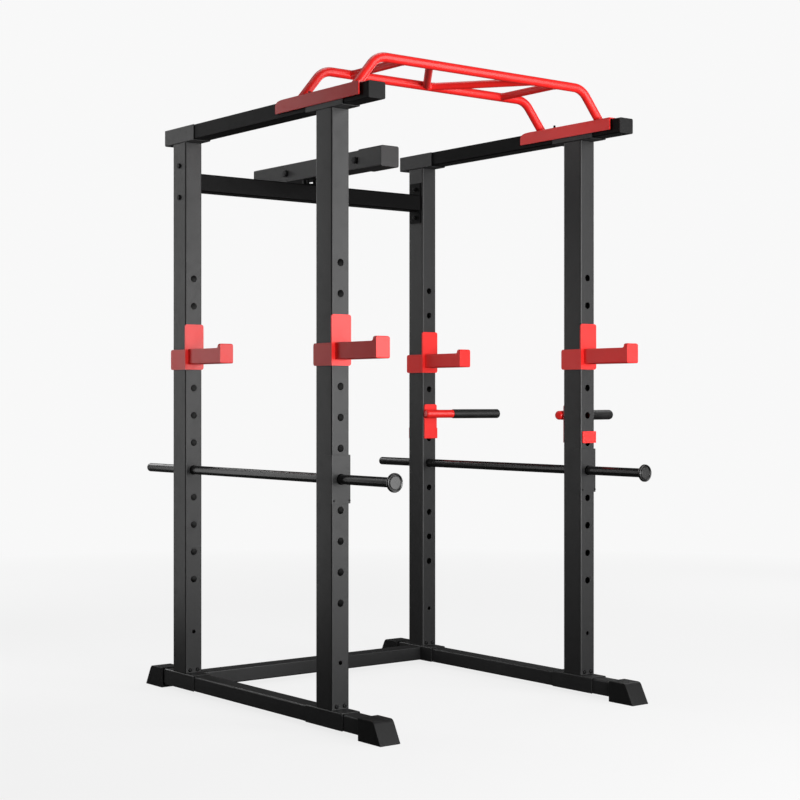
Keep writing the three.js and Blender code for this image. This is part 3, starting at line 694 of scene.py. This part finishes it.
class CagePiece:
    """What the operators share. They run in the order in which they stand here."""

    bl_options = {"REGISTER", "UNDO"}

    def execute(self, context):
        self.build(context.scene.cage_sizes)
        return {"FINISHED"}


class CAGE_OT_uprights(CagePiece, bpy.types.Operator):
    """Model the four drilled uprights"""

    bl_idname = "cage.uprights"
    bl_label = "Uprights"

    def build(self, size):
        first = f"upright_{CORNERS[0]}"
        post = tube(low(first), high(first), Z, size.post_wall, size.tube_corner)
        centre = middle(first)
        bar_bore = middle("safety_bar_left").z
        bar_radius = half("safety_bar_left", "z")
        holes = [(at(centre, z=size.pin_hole_height), size.pin_hole_radius)]
        for hole in range(size.hole_count):
            height = size.lowest_hole + hole * size.hole_pitch
            guide = near(height, bar_bore, size.hole_radius)
            holes.append((at(centre, z=height), bar_radius + size.bar_gap if guide else size.hole_radius))
        drill(post, holes, Y, 4 * half(first, "y"))
        finish(post, named("upright", CORNERS), size.edge)


class CAGE_OT_rails(CagePiece, bpy.types.Operator):
    """Model the top and base rails"""

    bl_idname = "cage.rails"
    bl_label = "Rails"

    def build(self, size):
        for level in ("top", "base"):
            rails = named(f"{level}_rail", SIDES)
            rail = tube(low(rails[0]), high(rails[0]), Y, size.rail_wall, size.tube_corner)
            finish(rail, rails, size.edge)


class CAGE_OT_saddles(CagePiece, bpy.types.Operator):
    """Model the folded saddles that join uprights to rails"""

    bl_idname = "cage.saddles"
    bl_label = "Saddles"

    def build(self, size):
        for level in ("top", "base"):
            first = f"{level}_saddle_{CORNERS[0]}"
            saddle = drawn_over(first)
            web = low(first).z if level == "top" else high(first).z
            fold_channel(saddle, first, web, size)
            finish(saddle, named(f"{level}_saddle", CORNERS), size.edge)


class CAGE_OT_feet(CagePiece, bpy.types.Operator):
    """Model the feet and the top rails' end caps"""

    bl_idname = "cage.feet"
    bl_label = "Feet and caps"

    def build(self, size):
        for kind in ("foot", "top_rail_cap"):
            for end in ENDS:
                pair = named(f"{kind}_{end}", SIDES)
                moulding = drawn_over(pair[0])
                if kind == "top_rail_cap":
                    self.round_outline(moulding, pair[0], size)
                finish(moulding, pair, size.plastic_edge / 2, segments=3, limit=30)

    def round_outline(self, cap, node, size):
        """Rounds the outline of a cap's plate; the boss that fits the rail keeps its shape."""
        lowest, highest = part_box(node)

        def on_outline(place, direction):
            side = near(place.x, lowest.x) or near(place.x, highest.x)
            level = near(place.z, lowest.z) or near(place.z, highest.z)
            return along(direction, Y) and side and level

        bevel_edges(cap, 1.5 * size.plastic_edge, 6, on_outline)


class CAGE_OT_crossmembers(CagePiece, bpy.types.Operator):
    """Model the rear crossmembers and the bolts of the upper one"""

    bl_idname = "cage.crossmembers"
    bl_label = "Rear crossmembers"

    bolt_head = 0.006
    washer = 0.0012
    shank_radius = 0.005
    nut_from_end = 0.009
    edge = 0.0003

    def build(self, size):
        floor = "rear_floor_crossmember"
        beam = tube(low(floor), high(floor), X, size.rail_wall, size.tube_corner)
        finish(beam, [floor], size.edge)
        upper = "rear_upper_crossmember"
        finish(drawn_over(upper), [upper], size.edge)
        for side, outward in (("left", -X), ("right", X)):
            for level in ("lower", "upper"):
                self.bolt(f"cross_bolt_{level}_{side}", outward)

    def bolt(self, node, outward):
        """A washer and a hexagon head outside the upright, and a nut inside the end plate."""
        reach = half(node, "x")
        radius = half(node, "z")
        under_head = middle(node) + outward * (reach - self.bolt_head)
        washer = turned(under_head, outward, [(0, radius), (self.washer, radius)])
        over_washer = under_head + outward * self.washer
        head = hexagon_head(over_washer, outward, 0.92 * radius, self.bolt_head - self.washer)
        inner = middle(node) - outward * reach
        shank = turned(inner, outward, [
            (0, 0.8 * self.shank_radius),
            (0.001, self.shank_radius),
            (2 * reach - self.bolt_head, self.shank_radius),
        ], sides=24)
        seat = inner + outward * self.nut_from_end
        nut = hexagon_head(seat, -outward, 1.7 * self.shank_radius, self.bolt_head)
        stand_for(assembled([head, washer, shank, nut], self.edge), node)


class CAGE_OT_cable_beam(CagePiece, bpy.types.Operator):
    """Model the cable beam with its sleeve, cap and mount"""

    bl_idname = "cage.cable_beam"
    bl_label = "Cable beam"

    side_hole = 0.010
    bolt_radius = 0.0125
    bolt_height = 0.009
    front_hole_from_sleeve = 0.020
    rear_hole_from_cap = 0.216
    edge = 0.0004

    def build(self, size):
        beam = tube(low("cable_beam"), high("cable_beam"), Y, size.rail_wall, size.tube_corner)
        rear = high("cable_beam_cap").y - self.rear_hole_from_cap
        front = high("cable_beam_sleeve").y + self.front_hole_from_sleeve
        holes = [(at(middle("cable_beam"), y=place), self.side_hole) for place in (front, rear)]
        drill(beam, holes, X, 4 * half("cable_beam", "x"))
        finish(beam, ["cable_beam"], size.edge)
        for name, place in (("front", front), ("rear", rear)):
            self.bolt(name, place)

        sleeve = drawn_over("cable_beam_sleeve")
        nose = low("cable_beam_sleeve").y

        def on_nose(place, direction):
            return near(place.y, nose) and abs(direction.y) < 0.1

        bevel_edges(sleeve, size.fold / 2, 4, on_nose)
        finish(sleeve, ["cable_beam_sleeve"], size.edge, limit=60)
        cap, mount = named("cable_beam", ("cap", "mount"))
        finish(drawn_over(cap), [cap], size.plastic_edge * 0.8, segments=4, limit=40)
        finish(drawn_over(mount), [mount], size.edge)

    def bolt(self, name, place):
        """A hexagon bolt through the beam, with its nut on the right."""
        lowest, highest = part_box("cable_beam")
        left = Vector((lowest.x, place, middle("cable_beam").z))
        right = at(left, x=highest.x)
        thin = 0.6 * self.bolt_radius
        shank = turned(left, X, [(0, thin), (highest.x - lowest.x, thin)])
        head = hexagon_head(left, -X, self.bolt_radius, self.bolt_height)
        nut = hexagon_head(right, X, self.bolt_radius, self.bolt_height)
        attach(assembled([head, shank, nut], self.edge), f"beam_bolt_{name}", *FRAME_BOLT)


class CAGE_OT_pullup_bar(CagePiece, bpy.types.Operator):
    """Model the multi-grip pull-up bar and its brackets"""

    bl_idname = "cage.pullup_bar"
    bl_label = "Pull-up bar"

    bracket_stud_from_rear = 0.134
    nut_radius = 0.0075
    nut_height = 0.0065
    nut_edge = 0.0004
    stud_profile = ((0, 0.004), (0.0145, 0.004), (0.0160, 0.0028))
    bar_sides = 40
    bend_steps = 14

    def build(self, size):
        self.radius = half("pullup_front_bar", "y")
        self.height = high("pullup_front_bar").z - self.radius
        bars = ["pullup_front_bar", "pullup_rear_bar"]
        finish(self.bent_bar(bars[0], size), bars, 0)
        for node in bars:
            self.foot_beads(node, size)
        for side in SIDES:
            self.bracket(f"pullup_bracket_{side}", size)
            for place in ("outer", "inner"):
                self.grip(side, place, size)

    def foot(self, node, size, towards):
        """Where a riser's centre line meets its bracket; towards is 1 for the right foot."""
        slant = self.radius / math.cos(size.bar_lean)
        edge = high(node).x if towards > 0 else low(node).x
        return Vector((edge - towards * slant, middle(node).y, low(node).z))

    def bent_bar(self, node, size):
        """Riser, bend, level run, bend and riser, swept in one go from right to left."""
        start = self.foot(node, size, 1)
        end = self.foot(node, size, -1)
        up = Vector((-math.sin(size.bar_lean), 0, math.cos(size.bar_lean)))
        down = Vector((up.x, 0, -up.z))
        turn = math.pi / 2 - size.bar_lean
        trim = size.bar_bend * math.tan(turn / 2)
        riser = (self.height - start.z) / up.z - trim
        knee = start.x + (self.height - start.z) * up.x / up.z
        level_half = knee - trim - middle(node).x
        bend_drop = Vector((0, 0, -size.bar_bend))
        piece = ring(start, up, self.radius, self.bar_sides, "NOTHING")
        with editing(piece):
            choose_all()
            self.push(up * riser)
            for centre_x, straight in ((level_half, -X * 2 * level_half), (-level_half, down * riser)):
                centre = Vector((middle(node).x + centre_x, start.y, self.height)) + bend_drop
                bpy.ops.mesh.spin(steps=self.bend_steps, angle=turn, center=centre, axis=Y)
                self.push(straight)
            choose(piece, "EDGE", lambda place, direction: place.z < start.z + self.radius)
            bpy.ops.mesh.select_non_manifold(extend=False, use_wire=True, use_boundary=True)
            bpy.ops.mesh.edge_face_add()
            choose_all()
            bpy.ops.mesh.remove_doubles(threshold=0.00001)
            bpy.ops.mesh.bisect(
                plane_co=start, plane_no=-Z, use_fill=True, clear_outer=True, clear_inner=False
            )
            face_outwards()
        return piece

    def push(self, move):
        bpy.ops.mesh.extrude_region_move(TRANSFORM_OT_translate={"value": move})

    def foot_beads(self, node, size):
        for side, towards in (("left", -1), ("right", 1)):
            foot = self.foot(node, size, towards)
            ring_of_weld = bead(foot + Z * size.weld / 2, Z, self.radius, size.weld, lean=size.bar_lean)
            attach(ring_of_weld, f"weld_{node}_{side}", "frame", "red_powder_coat")

    def bracket(self, node, size):
        """An inverted channel over the top rail, with the end of a clamping bolt standing out of it."""
        plate = drawn_over(node)
        fold_channel(plate, node, high(node).z, size)
        finish(plate, [node], size.edge)
        base = Vector((middle(node).x, high(node).y - self.bracket_stud_from_rear, high(node).z))
        nut = hexagon_head(base, Z, self.nut_radius, self.nut_height)
        soften(nut, self.nut_edge)
        stud = turned(base, Z, self.stud_profile, sides=24)
        soften(stud, 0)
        attach(join([nut, stud]), f"stud_{node}", *FRAME_BOLT)

    def grip(self, side, place, size):
        """A short bar between the two long ones, with a flare of weld at each end."""
        node = f"pullup_{place}_grip_{side}"
        lowest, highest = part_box(node)
        radius = (highest.z - lowest.z) / 2
        front = middle("pullup_front_bar")
        rear = middle("pullup_rear_bar")
        if place == "outer":
            ends = [Vector((middle(node).x, y, self.height)) for y in (front.y, rear.y)]
        else:
            ends = self.slanted_ends(node, side, radius, front.y, rear.y)
        run = ends[1] - ends[0]
        span = run.length
        start = [
            (0.50 * self.radius, 0.93 * self.radius),
            (0.85 * self.radius, 0.91 * self.radius),
            (self.radius + 0.4 * size.weld, radius + 0.3 * size.weld),
            (self.radius + 1.4 * size.weld, radius),
        ]
        profile = start + [(span - distance, girth) for distance, girth in reversed(start)]
        piece = turned(ends[0], run, profile, sides=36)
        finish(piece, [node], 0, limit=60)

    def slanted_ends(self, node, side, radius, front_y, rear_y):
        """The centre line of an inner grip, from the box of its solid, which its round sides touch."""
        lowest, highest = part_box(node)
        outward = -1 if side == "left" else 1
        front_x, rear_x = (highest.x, lowest.x) if outward > 0 else (lowest.x, highest.x)
        span_y = rear_y - front_y
        visible_y = highest.y - lowest.y
        slope = (abs(front_x - rear_x) - 2 * radius) / visible_y
        for _ in range(4):
            tilt = math.sqrt(1 + slope * slope)
            slope = (abs(front_x - rear_x) - 2 * radius / tilt) / (visible_y - 2 * radius * slope / tilt)
        centre_x = middle(node).x
        lean = outward * slope * span_y / 2
        front_end = Vector((centre_x + lean, front_y, self.height))
        return [front_end, Vector((centre_x - lean, rear_y, self.height))]


class CAGE_OT_bar_hooks(CagePiece, bpy.types.Operator):
    """Model the four bar hooks"""

    bl_idname = "cage.bar_hooks"
    bl_label = "Bar hooks"

    plate_stand_off = 0.006
    half_arm = 0.025
    lip_reach = 0.020
    weld_room = 0.006  # left square beside the weld at the arm's root
    overrun = 0.001  # how far cuts and searches run past a face

    def build(self, size):
        first = f"bar_hook_{CORNERS[0]}"
        lowest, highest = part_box(first)
        post = middle(f"upright_{CORNERS[0]}")
        plate_face = low(f"upright_{CORNERS[0]}").y - self.plate_stand_off
        hook = drawn_over(first)
        for up, height in ((-1, self.flange_top(hook, lowest, plate_face)), (1, lowest.z)):
            corner = Vector((lowest.x, highest.y, height))
            round_off(hook, corner, X, Vector((0, -1, up)), size.hook_corner, self.half_arm * 2)

        def on_plate_corner(place, direction):
            in_plate = plate_face - self.overrun < place.y < plate_face + self.plate_stand_off
            bottom = near(place.z, lowest.z) and near(place.x, highest.x)
            return along(direction, Y) and in_plate and (near(place.z, highest.z) or bottom)

        def on_arm(place):
            return place.y < plate_face - 2 * self.overrun and near(abs(place.x - post.x), self.half_arm)

        def at_arm_root(place, direction):
            inside = abs(place.x - post.x) < self.half_arm + self.overrun
            return near(place.y, plate_face) and inside and place.z < lip_top

        def on_fold(place, direction):
            return along(direction, Z) and near(place.x, lowest.x)

        bevel_edges(hook, size.hook_corner, 6, on_plate_corner)
        arm = [vertex.co.copy() for vertex in hook.data.vertices if on_arm(vertex.co)]
        lip_top = max(place.z for place in arm)
        arm_bottom = min(place.z for place in arm)
        arm_end = min(place.y for place in arm)
        bevel_edges(hook, size.weld, 3, at_arm_root)
        reach = (plate_face - arm_end - self.weld_room) / 2 + self.overrun
        arm_middle = arm_end - self.overrun + reach
        for outward in (-1, 1):
            edge = Vector((post.x + outward * self.half_arm, arm_end, lip_top))
            round_off(hook, edge, Y, Vector((-outward, 0, -1)), size.hook_corner, self.lip_reach)
            edge = at(edge, y=arm_middle, z=arm_bottom)
            round_off(hook, edge, Y, Vector((-outward, 0, 1)), size.arm_edge, reach)
        bevel_edges(hook, size.fold, 5, on_fold)
        finish(hook, named("bar_hook", CORNERS), size.edge)

    def flange_top(self, hook, lowest, plate_face):
        """The height of the side flange, which is lower than the plate."""
        return max(
            vertex.co.z
            for vertex in hook.data.vertices
            if near(vertex.co.x, lowest.x) and vertex.co.y > plate_face + self.plate_stand_off
        )


class CAGE_OT_dip_handles(CagePiece, bpy.types.Operator):
    """Model the two dip handles"""

    bl_idname = "cage.dip_handles"
    bl_label = "Dip handles"

    convergence = math.radians(11)
    root_corner = 0.007
    mouth_corner = 0.0012
    tip_corner = 0.0085
    tube_in_grip = 0.020
    collar = 0.006
    groove_depth = 0.0008
    end_gap = 0.002

    def build(self, size):
        for end, facing in (("front", 1), ("rear", -1)):
            self.bracket(end, size)
            self.handle(end, facing, size)

    def bracket(self, end, size):
        node = f"dip_bracket_{end}"
        lowest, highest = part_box(node)
        plate = drawn_over(node)

        def on_fold(place, direction):
            return along(direction, Z) and near(place.x, highest.x)

        def on_top(place, direction):
            return along(direction, Y) and near(place.z, highest.z)

        bevel_edges(plate, size.fold, 5, on_fold)
        bevel_edges(plate, size.hook_corner, 6, on_top)
        finish(plate, [node], size.edge)

    def handle(self, end, facing, size):
        tube_node = f"dip_tube_{end}"
        grip_node = f"dip_grip_{end}"
        lowest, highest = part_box(tube_node)
        direction = Vector((math.cos(self.convergence), facing * math.sin(self.convergence), 0))
        radius = (highest.z - lowest.z) / 2
        grip_radius = half(grip_node, "z")
        inner_y = lowest.y if facing > 0 else highest.y
        start = Vector((
            lowest.x + radius * math.sin(self.convergence),
            inner_y + facing * radius * math.cos(self.convergence),
            middle(tube_node).z,
        ))
        tip_x = high(grip_node).x
        reach = (tip_x - start.x) / math.cos(self.convergence)
        grip_length = (high(grip_node).x - low(grip_node).x) / math.cos(self.convergence)
        mouth = reach - grip_length + self.end_gap
        root = rounded(self.end_gap / 2, radius, self.root_corner, -1, steps=5)
        handle = turned(start, direction, [*root, (mouth + self.tube_in_grip, radius)])
        finish(handle, [tube_node], 0, limit=60)
        groove = mouth + self.collar
        bottom = grip_radius - self.groove_depth
        grip = turned(start, direction, [
            *rounded(mouth, grip_radius, self.mouth_corner, -1),
            (groove, grip_radius),
            (groove + 0.0006, bottom),
            (groove + 0.0022, bottom),
            (groove + 0.0028, grip_radius),
            *rounded(reach - self.end_gap, grip_radius, self.tip_corner, 1, steps=7),
        ])
        finish(grip, [grip_node], 0, limit=60)


class CAGE_OT_safety_bars(CagePiece, bpy.types.Operator):
    """Model the two safety bars with their flanges and plugs"""

    bl_idname = "cage.safety_bars"
    bl_label = "Safety bars"

    dish = 0.0020
    rim = 0.0065
    groove = 0.0016

    def build(self, size):
        first = "safety_bar_left"
        radius = half(first, "z")
        front = at(middle(first), y=low(first).y)
        span = 2 * half(first, "y")
        pipe = turned(front, Y, [(0, radius), (span, radius)])
        finish(pipe, named("safety_bar", SIDES), 0)

        first = "safety_bar_flange_left"
        rim = half(first, "z")
        thickness = low("safety_bar_left").y - low(first).y
        face = at(middle(first), y=low(first).y)
        inner = rim - self.rim
        flange = turned(face, Y, [
            (self.dish * 0.4, inner - 3 * self.groove),
            (self.dish * 0.4, inner - 2 * self.groove),
            (self.dish + self.groove, inner - self.groove),
            (self.dish + self.groove, inner),
            (self.dish * 0.6, inner + 0.6 * self.groove),
            *rounded(0, rim, self.rim / 2, -1, steps=6),
            (thickness - 0.005, rim),
            (thickness - 0.003, rim - 0.0015),
            (thickness, radius + 0.003),
        ], sides=64)
        finish(flange, named("safety_bar_flange", SIDES), 0.0003, limit=40)

        first = "safety_bar_plug_left"
        tip = at(middle(first), y=high(first).y)
        plug = turned(tip, -Y, [*rounded(0, radius, 0.004, -1), (0.004, radius), (0.006, radius * 0.78)])
        finish(plug, named("safety_bar_plug", SIDES), 0, limit=50)


class CAGE_OT_collars(CagePiece, bpy.types.Operator):
    """Model the collars that guide the safety bars, and their screws"""

    bl_idname = "cage.collars"
    bl_label = "Collars"

    screw_from_bottom = 0.009
    screw_from_left = 0.009
    screw_from_right = 0.0045
    screw_height = 0.0018
    plate_reach = 0.02

    def build(self, size):
        first = "collar_left"
        lowest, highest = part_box(first)
        collar = drawn_over(first)

        def on_fold(place, direction):
            outer = near(place.x, lowest.x) or near(place.x, highest.x)
            return along(direction, Z) and near(place.y, lowest.y) and outer

        bevel_edges(collar, size.fold * 0.75, 5, on_fold)
        bar = middle("safety_bar_left")
        bore = half("safety_bar_left", "z") + 2 * size.bar_gap
        drill(collar, [(at(bar, y=lowest.y), bore)], Y, self.plate_reach)
        finish(collar, named("collar", SIDES), size.edge)
        for side in SIDES:
            lowest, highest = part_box(f"collar_{side}")
            height = lowest.z + self.screw_from_bottom
            inner = lowest.x + self.screw_from_left
            outer = highest.x - self.screw_from_right
            for name, x in (("inner", inner), ("outer", outer)):
                face = Vector((x, lowest.y, height))
                screw = button_head(face, -Y, size.screw_head, self.screw_height)
                soften(screw, 0, limit=50)
                attach(screw, f"collar_screw_{name}_{side}", *FRAME_BOLT)


class CAGE_OT_foot_bolts(CagePiece, bpy.types.Operator):
    """Model the bolts through the foot of each upright"""

    bl_idname = "cage.foot_bolts"
    bl_label = "Foot bolts"

    half_spacing = 0.0145
    above_saddle = 0.010
    head_height = 0.0042
    nut_height = 0.005

    def build(self, size):
        for corner in CORNERS:
            post = f"upright_{corner}"
            height = low(post).z + self.above_saddle
            for name, shift in (("left", -self.half_spacing), ("right", self.half_spacing)):
                front = Vector((middle(post).x + shift, low(post).y, height))
                rear = at(front, y=high(post).y)
                head = button_head(front, -Y, size.bolt_head, self.head_height)
                soften(head, 0, limit=50)
                nut = hexagon_head(rear, Y, size.bolt_head * 1.1, self.nut_height)
                soften(nut, 0.0004)
                attach(join([head, nut]), f"foot_bolt_{corner}_{name}", *FRAME_BOLT)


class CAGE_OT_studio(bpy.types.Operator):
    """Set up the floor, lights and camera"""

    bl_idname = "cage.studio"
    bl_label = "Studio"

    floor_half = 30.0
    fade_start = 2.4
    fade_end = 5.5
    shadow_depth = 0.15

    def execute(self, context):
        studio = context.scene.cage_studio
        posts = [middle(f"upright_{corner}") for corner in CORNERS]
        centre = at(sum(posts, Vector()) / len(posts), z=0)
        self.floor(studio, centre)
        self.surroundings(context.scene, studio)
        upright = at(centre, z=1.2)
        lights = (
            ("key_light", Vector((1.45, -2.9, 1.65)), at(centre, z=1.65), (1.6, 3.2), studio.key_power),
            ("side_light", Vector((-1.4, 1.4, 1.5)), at(centre, z=1.5), (0.8, 2.8), studio.side_power),
            ("fill_light", Vector((-0.8, -4.6, 1.1)), upright, (1.6, 1.6), studio.fill_power),
            ("top_light", Vector((0.0, 0.6, 4.6)), centre, (2.4, 2.4), studio.top_power),
            ("right_light", Vector((4.0, 0.9, 2.0)), upright, (2.0, 2.6), studio.back_power),
            ("rear_light", Vector((-0.3, 4.4, 2.2)), upright, (2.0, 2.6), studio.back_power),
        )
        for name, place, aim, spread, power in lights:
            self.light(name, centre + place, aim, spread, power)
        self.camera(context.scene, studio, centre)
        return {"FINISHED"}

    def floor(self, studio, centre):
        """A pale floor, softly shadowed near the cage and as bright as the backdrop further out."""
        deselect()
        bpy.ops.mesh.primitive_plane_add(size=2 * self.floor_half, location=centre)
        plane = bpy.context.object
        plane.name = "studio_floor"
        settle(plane)
        shader = Shader(bpy.data.materials.new("studio_paper"))
        place = shader.node("ShaderNodeTexCoord", output="Object")
        centred = shader.node("ShaderNodeVectorMath", {"operation": "SUBTRACT"}, {0: place, 1: centre})
        away = shader.node("ShaderNodeVectorMath", {"operation": "LENGTH"}, {0: centred}, output=1)
        fade = ((away - self.fade_start) * (1 / (self.fade_end - self.fade_start))).clamped()
        grain = shader.noise(160.0)
        paper = shader.node("ShaderNodeBsdfDiffuse", inputs={
            "Color": (0.9, 0.9, 0.9, 1),
            "Normal": shader.bump(grain, 0.0002, strength=0.3),
        })
        glow = shader.node("ShaderNodeEmission", inputs={"Color": WHITE, "Strength": studio.backdrop})
        share = (1 - self.shadow_depth) + self.shadow_depth * fade
        mixed = shader.node("ShaderNodeMixShader", inputs={0: share, 1: paper, 2: glow})
        shader.node("ShaderNodeOutputMaterial", inputs={"Surface": mixed})
        plane.data.materials.append(shader.owner)
        plane.visible_diffuse = False
        plane.visible_glossy = False
        plane.visible_shadow = False

    def surroundings(self, scene, studio):
        """A bright backdrop for the camera, and a dimmer room for the paint to reflect."""
        world = bpy.data.worlds.new("studio_room")
        sky = Shader(world)
        room, backdrop = (
            sky.node("ShaderNodeBackground", inputs={"Color": WHITE, "Strength": strength})
            for strength in (studio.room, studio.backdrop)
        )
        seen = sky.node("ShaderNodeLightPath", output="Is Camera Ray")
        mixed = sky.node("ShaderNodeMixShader", inputs={0: seen, 1: room, 2: backdrop})
        sky.node("ShaderNodeOutputWorld", inputs={"Surface": mixed})
        scene.world = world
        scene.view_settings.view_transform = "Standard"

    def light(self, name, place, aim, spread, power):
        data = bpy.data.lights.new(name, "AREA")
        data.shape = "RECTANGLE"
        data.size, data.size_y = spread
        data.energy = power
        lamp = bpy.data.objects.new(name, data)
        lamp.location = place
        lamp.rotation_euler = (aim - place).to_track_quat("-Z", "Y").to_euler()
        lamp.visible_camera = False
        bpy.context.scene.collection.objects.link(lamp)

    def camera(self, scene, studio, centre):
        data = bpy.data.cameras.new("studio_camera")
        data.sensor_width = 36.0
        data.lens = studio.lens
        data.clip_end = 200
        camera = bpy.data.objects.new("studio_camera", data)
        camera.location = centre + Vector(studio.camera_offset)
        camera.rotation_euler = (math.pi / 2, 0, -studio.camera_turn)
        scene.collection.objects.link(camera)
        scene.camera = camera


# ---- add-on

PIECE_OPERATORS = tuple(CagePiece.__subclasses__())


class CAGE_PT_sidebar(bpy.types.Panel):
    """Lists the cage's operators, sizes and colours"""

    bl_idname = "CAGE_PT_sidebar"
    bl_label = "Power cage"
    bl_space_type = "VIEW_3D"
    bl_region_type = "UI"
    bl_category = "Cage"

    def draw(self, context):
        for operator in (CAGE_OT_studio, *PIECE_OPERATORS):
            self.layout.operator(operator.bl_idname)
        for group in (context.scene.cage_sizes, context.scene.cage_colours, context.scene.cage_studio):
            column = self.layout.column()
            for name in group.__annotations__:
                column.prop(group, name)


CLASSES = (CageSizes, CageColours, CageStudio, *PIECE_OPERATORS, CAGE_OT_studio, CAGE_PT_sidebar)
GROUPS = {"cage_sizes": CageSizes, "cage_colours": CageColours, "cage_studio": CageStudio}


def register():
    for cls in CLASSES:
        bpy.utils.register_class(cls)
    for name, group in GROUPS.items():
        setattr(bpy.types.Scene, name, PointerProperty(type=group))


def unregister():
    for name in GROUPS:
        delattr(bpy.types.Scene, name)
    for cls in reversed(CLASSES):
        bpy.utils.unregister_class(cls)


def main():
    register()
    bpy.ops.cage.studio()
    make_finishes(bpy.context.scene.cage_colours)
    for operator in PIECE_OPERATORS:
        getattr(bpy.ops.cage, operator.bl_idname.split(".")[1])()


if __name__ == "__main__":
    main()
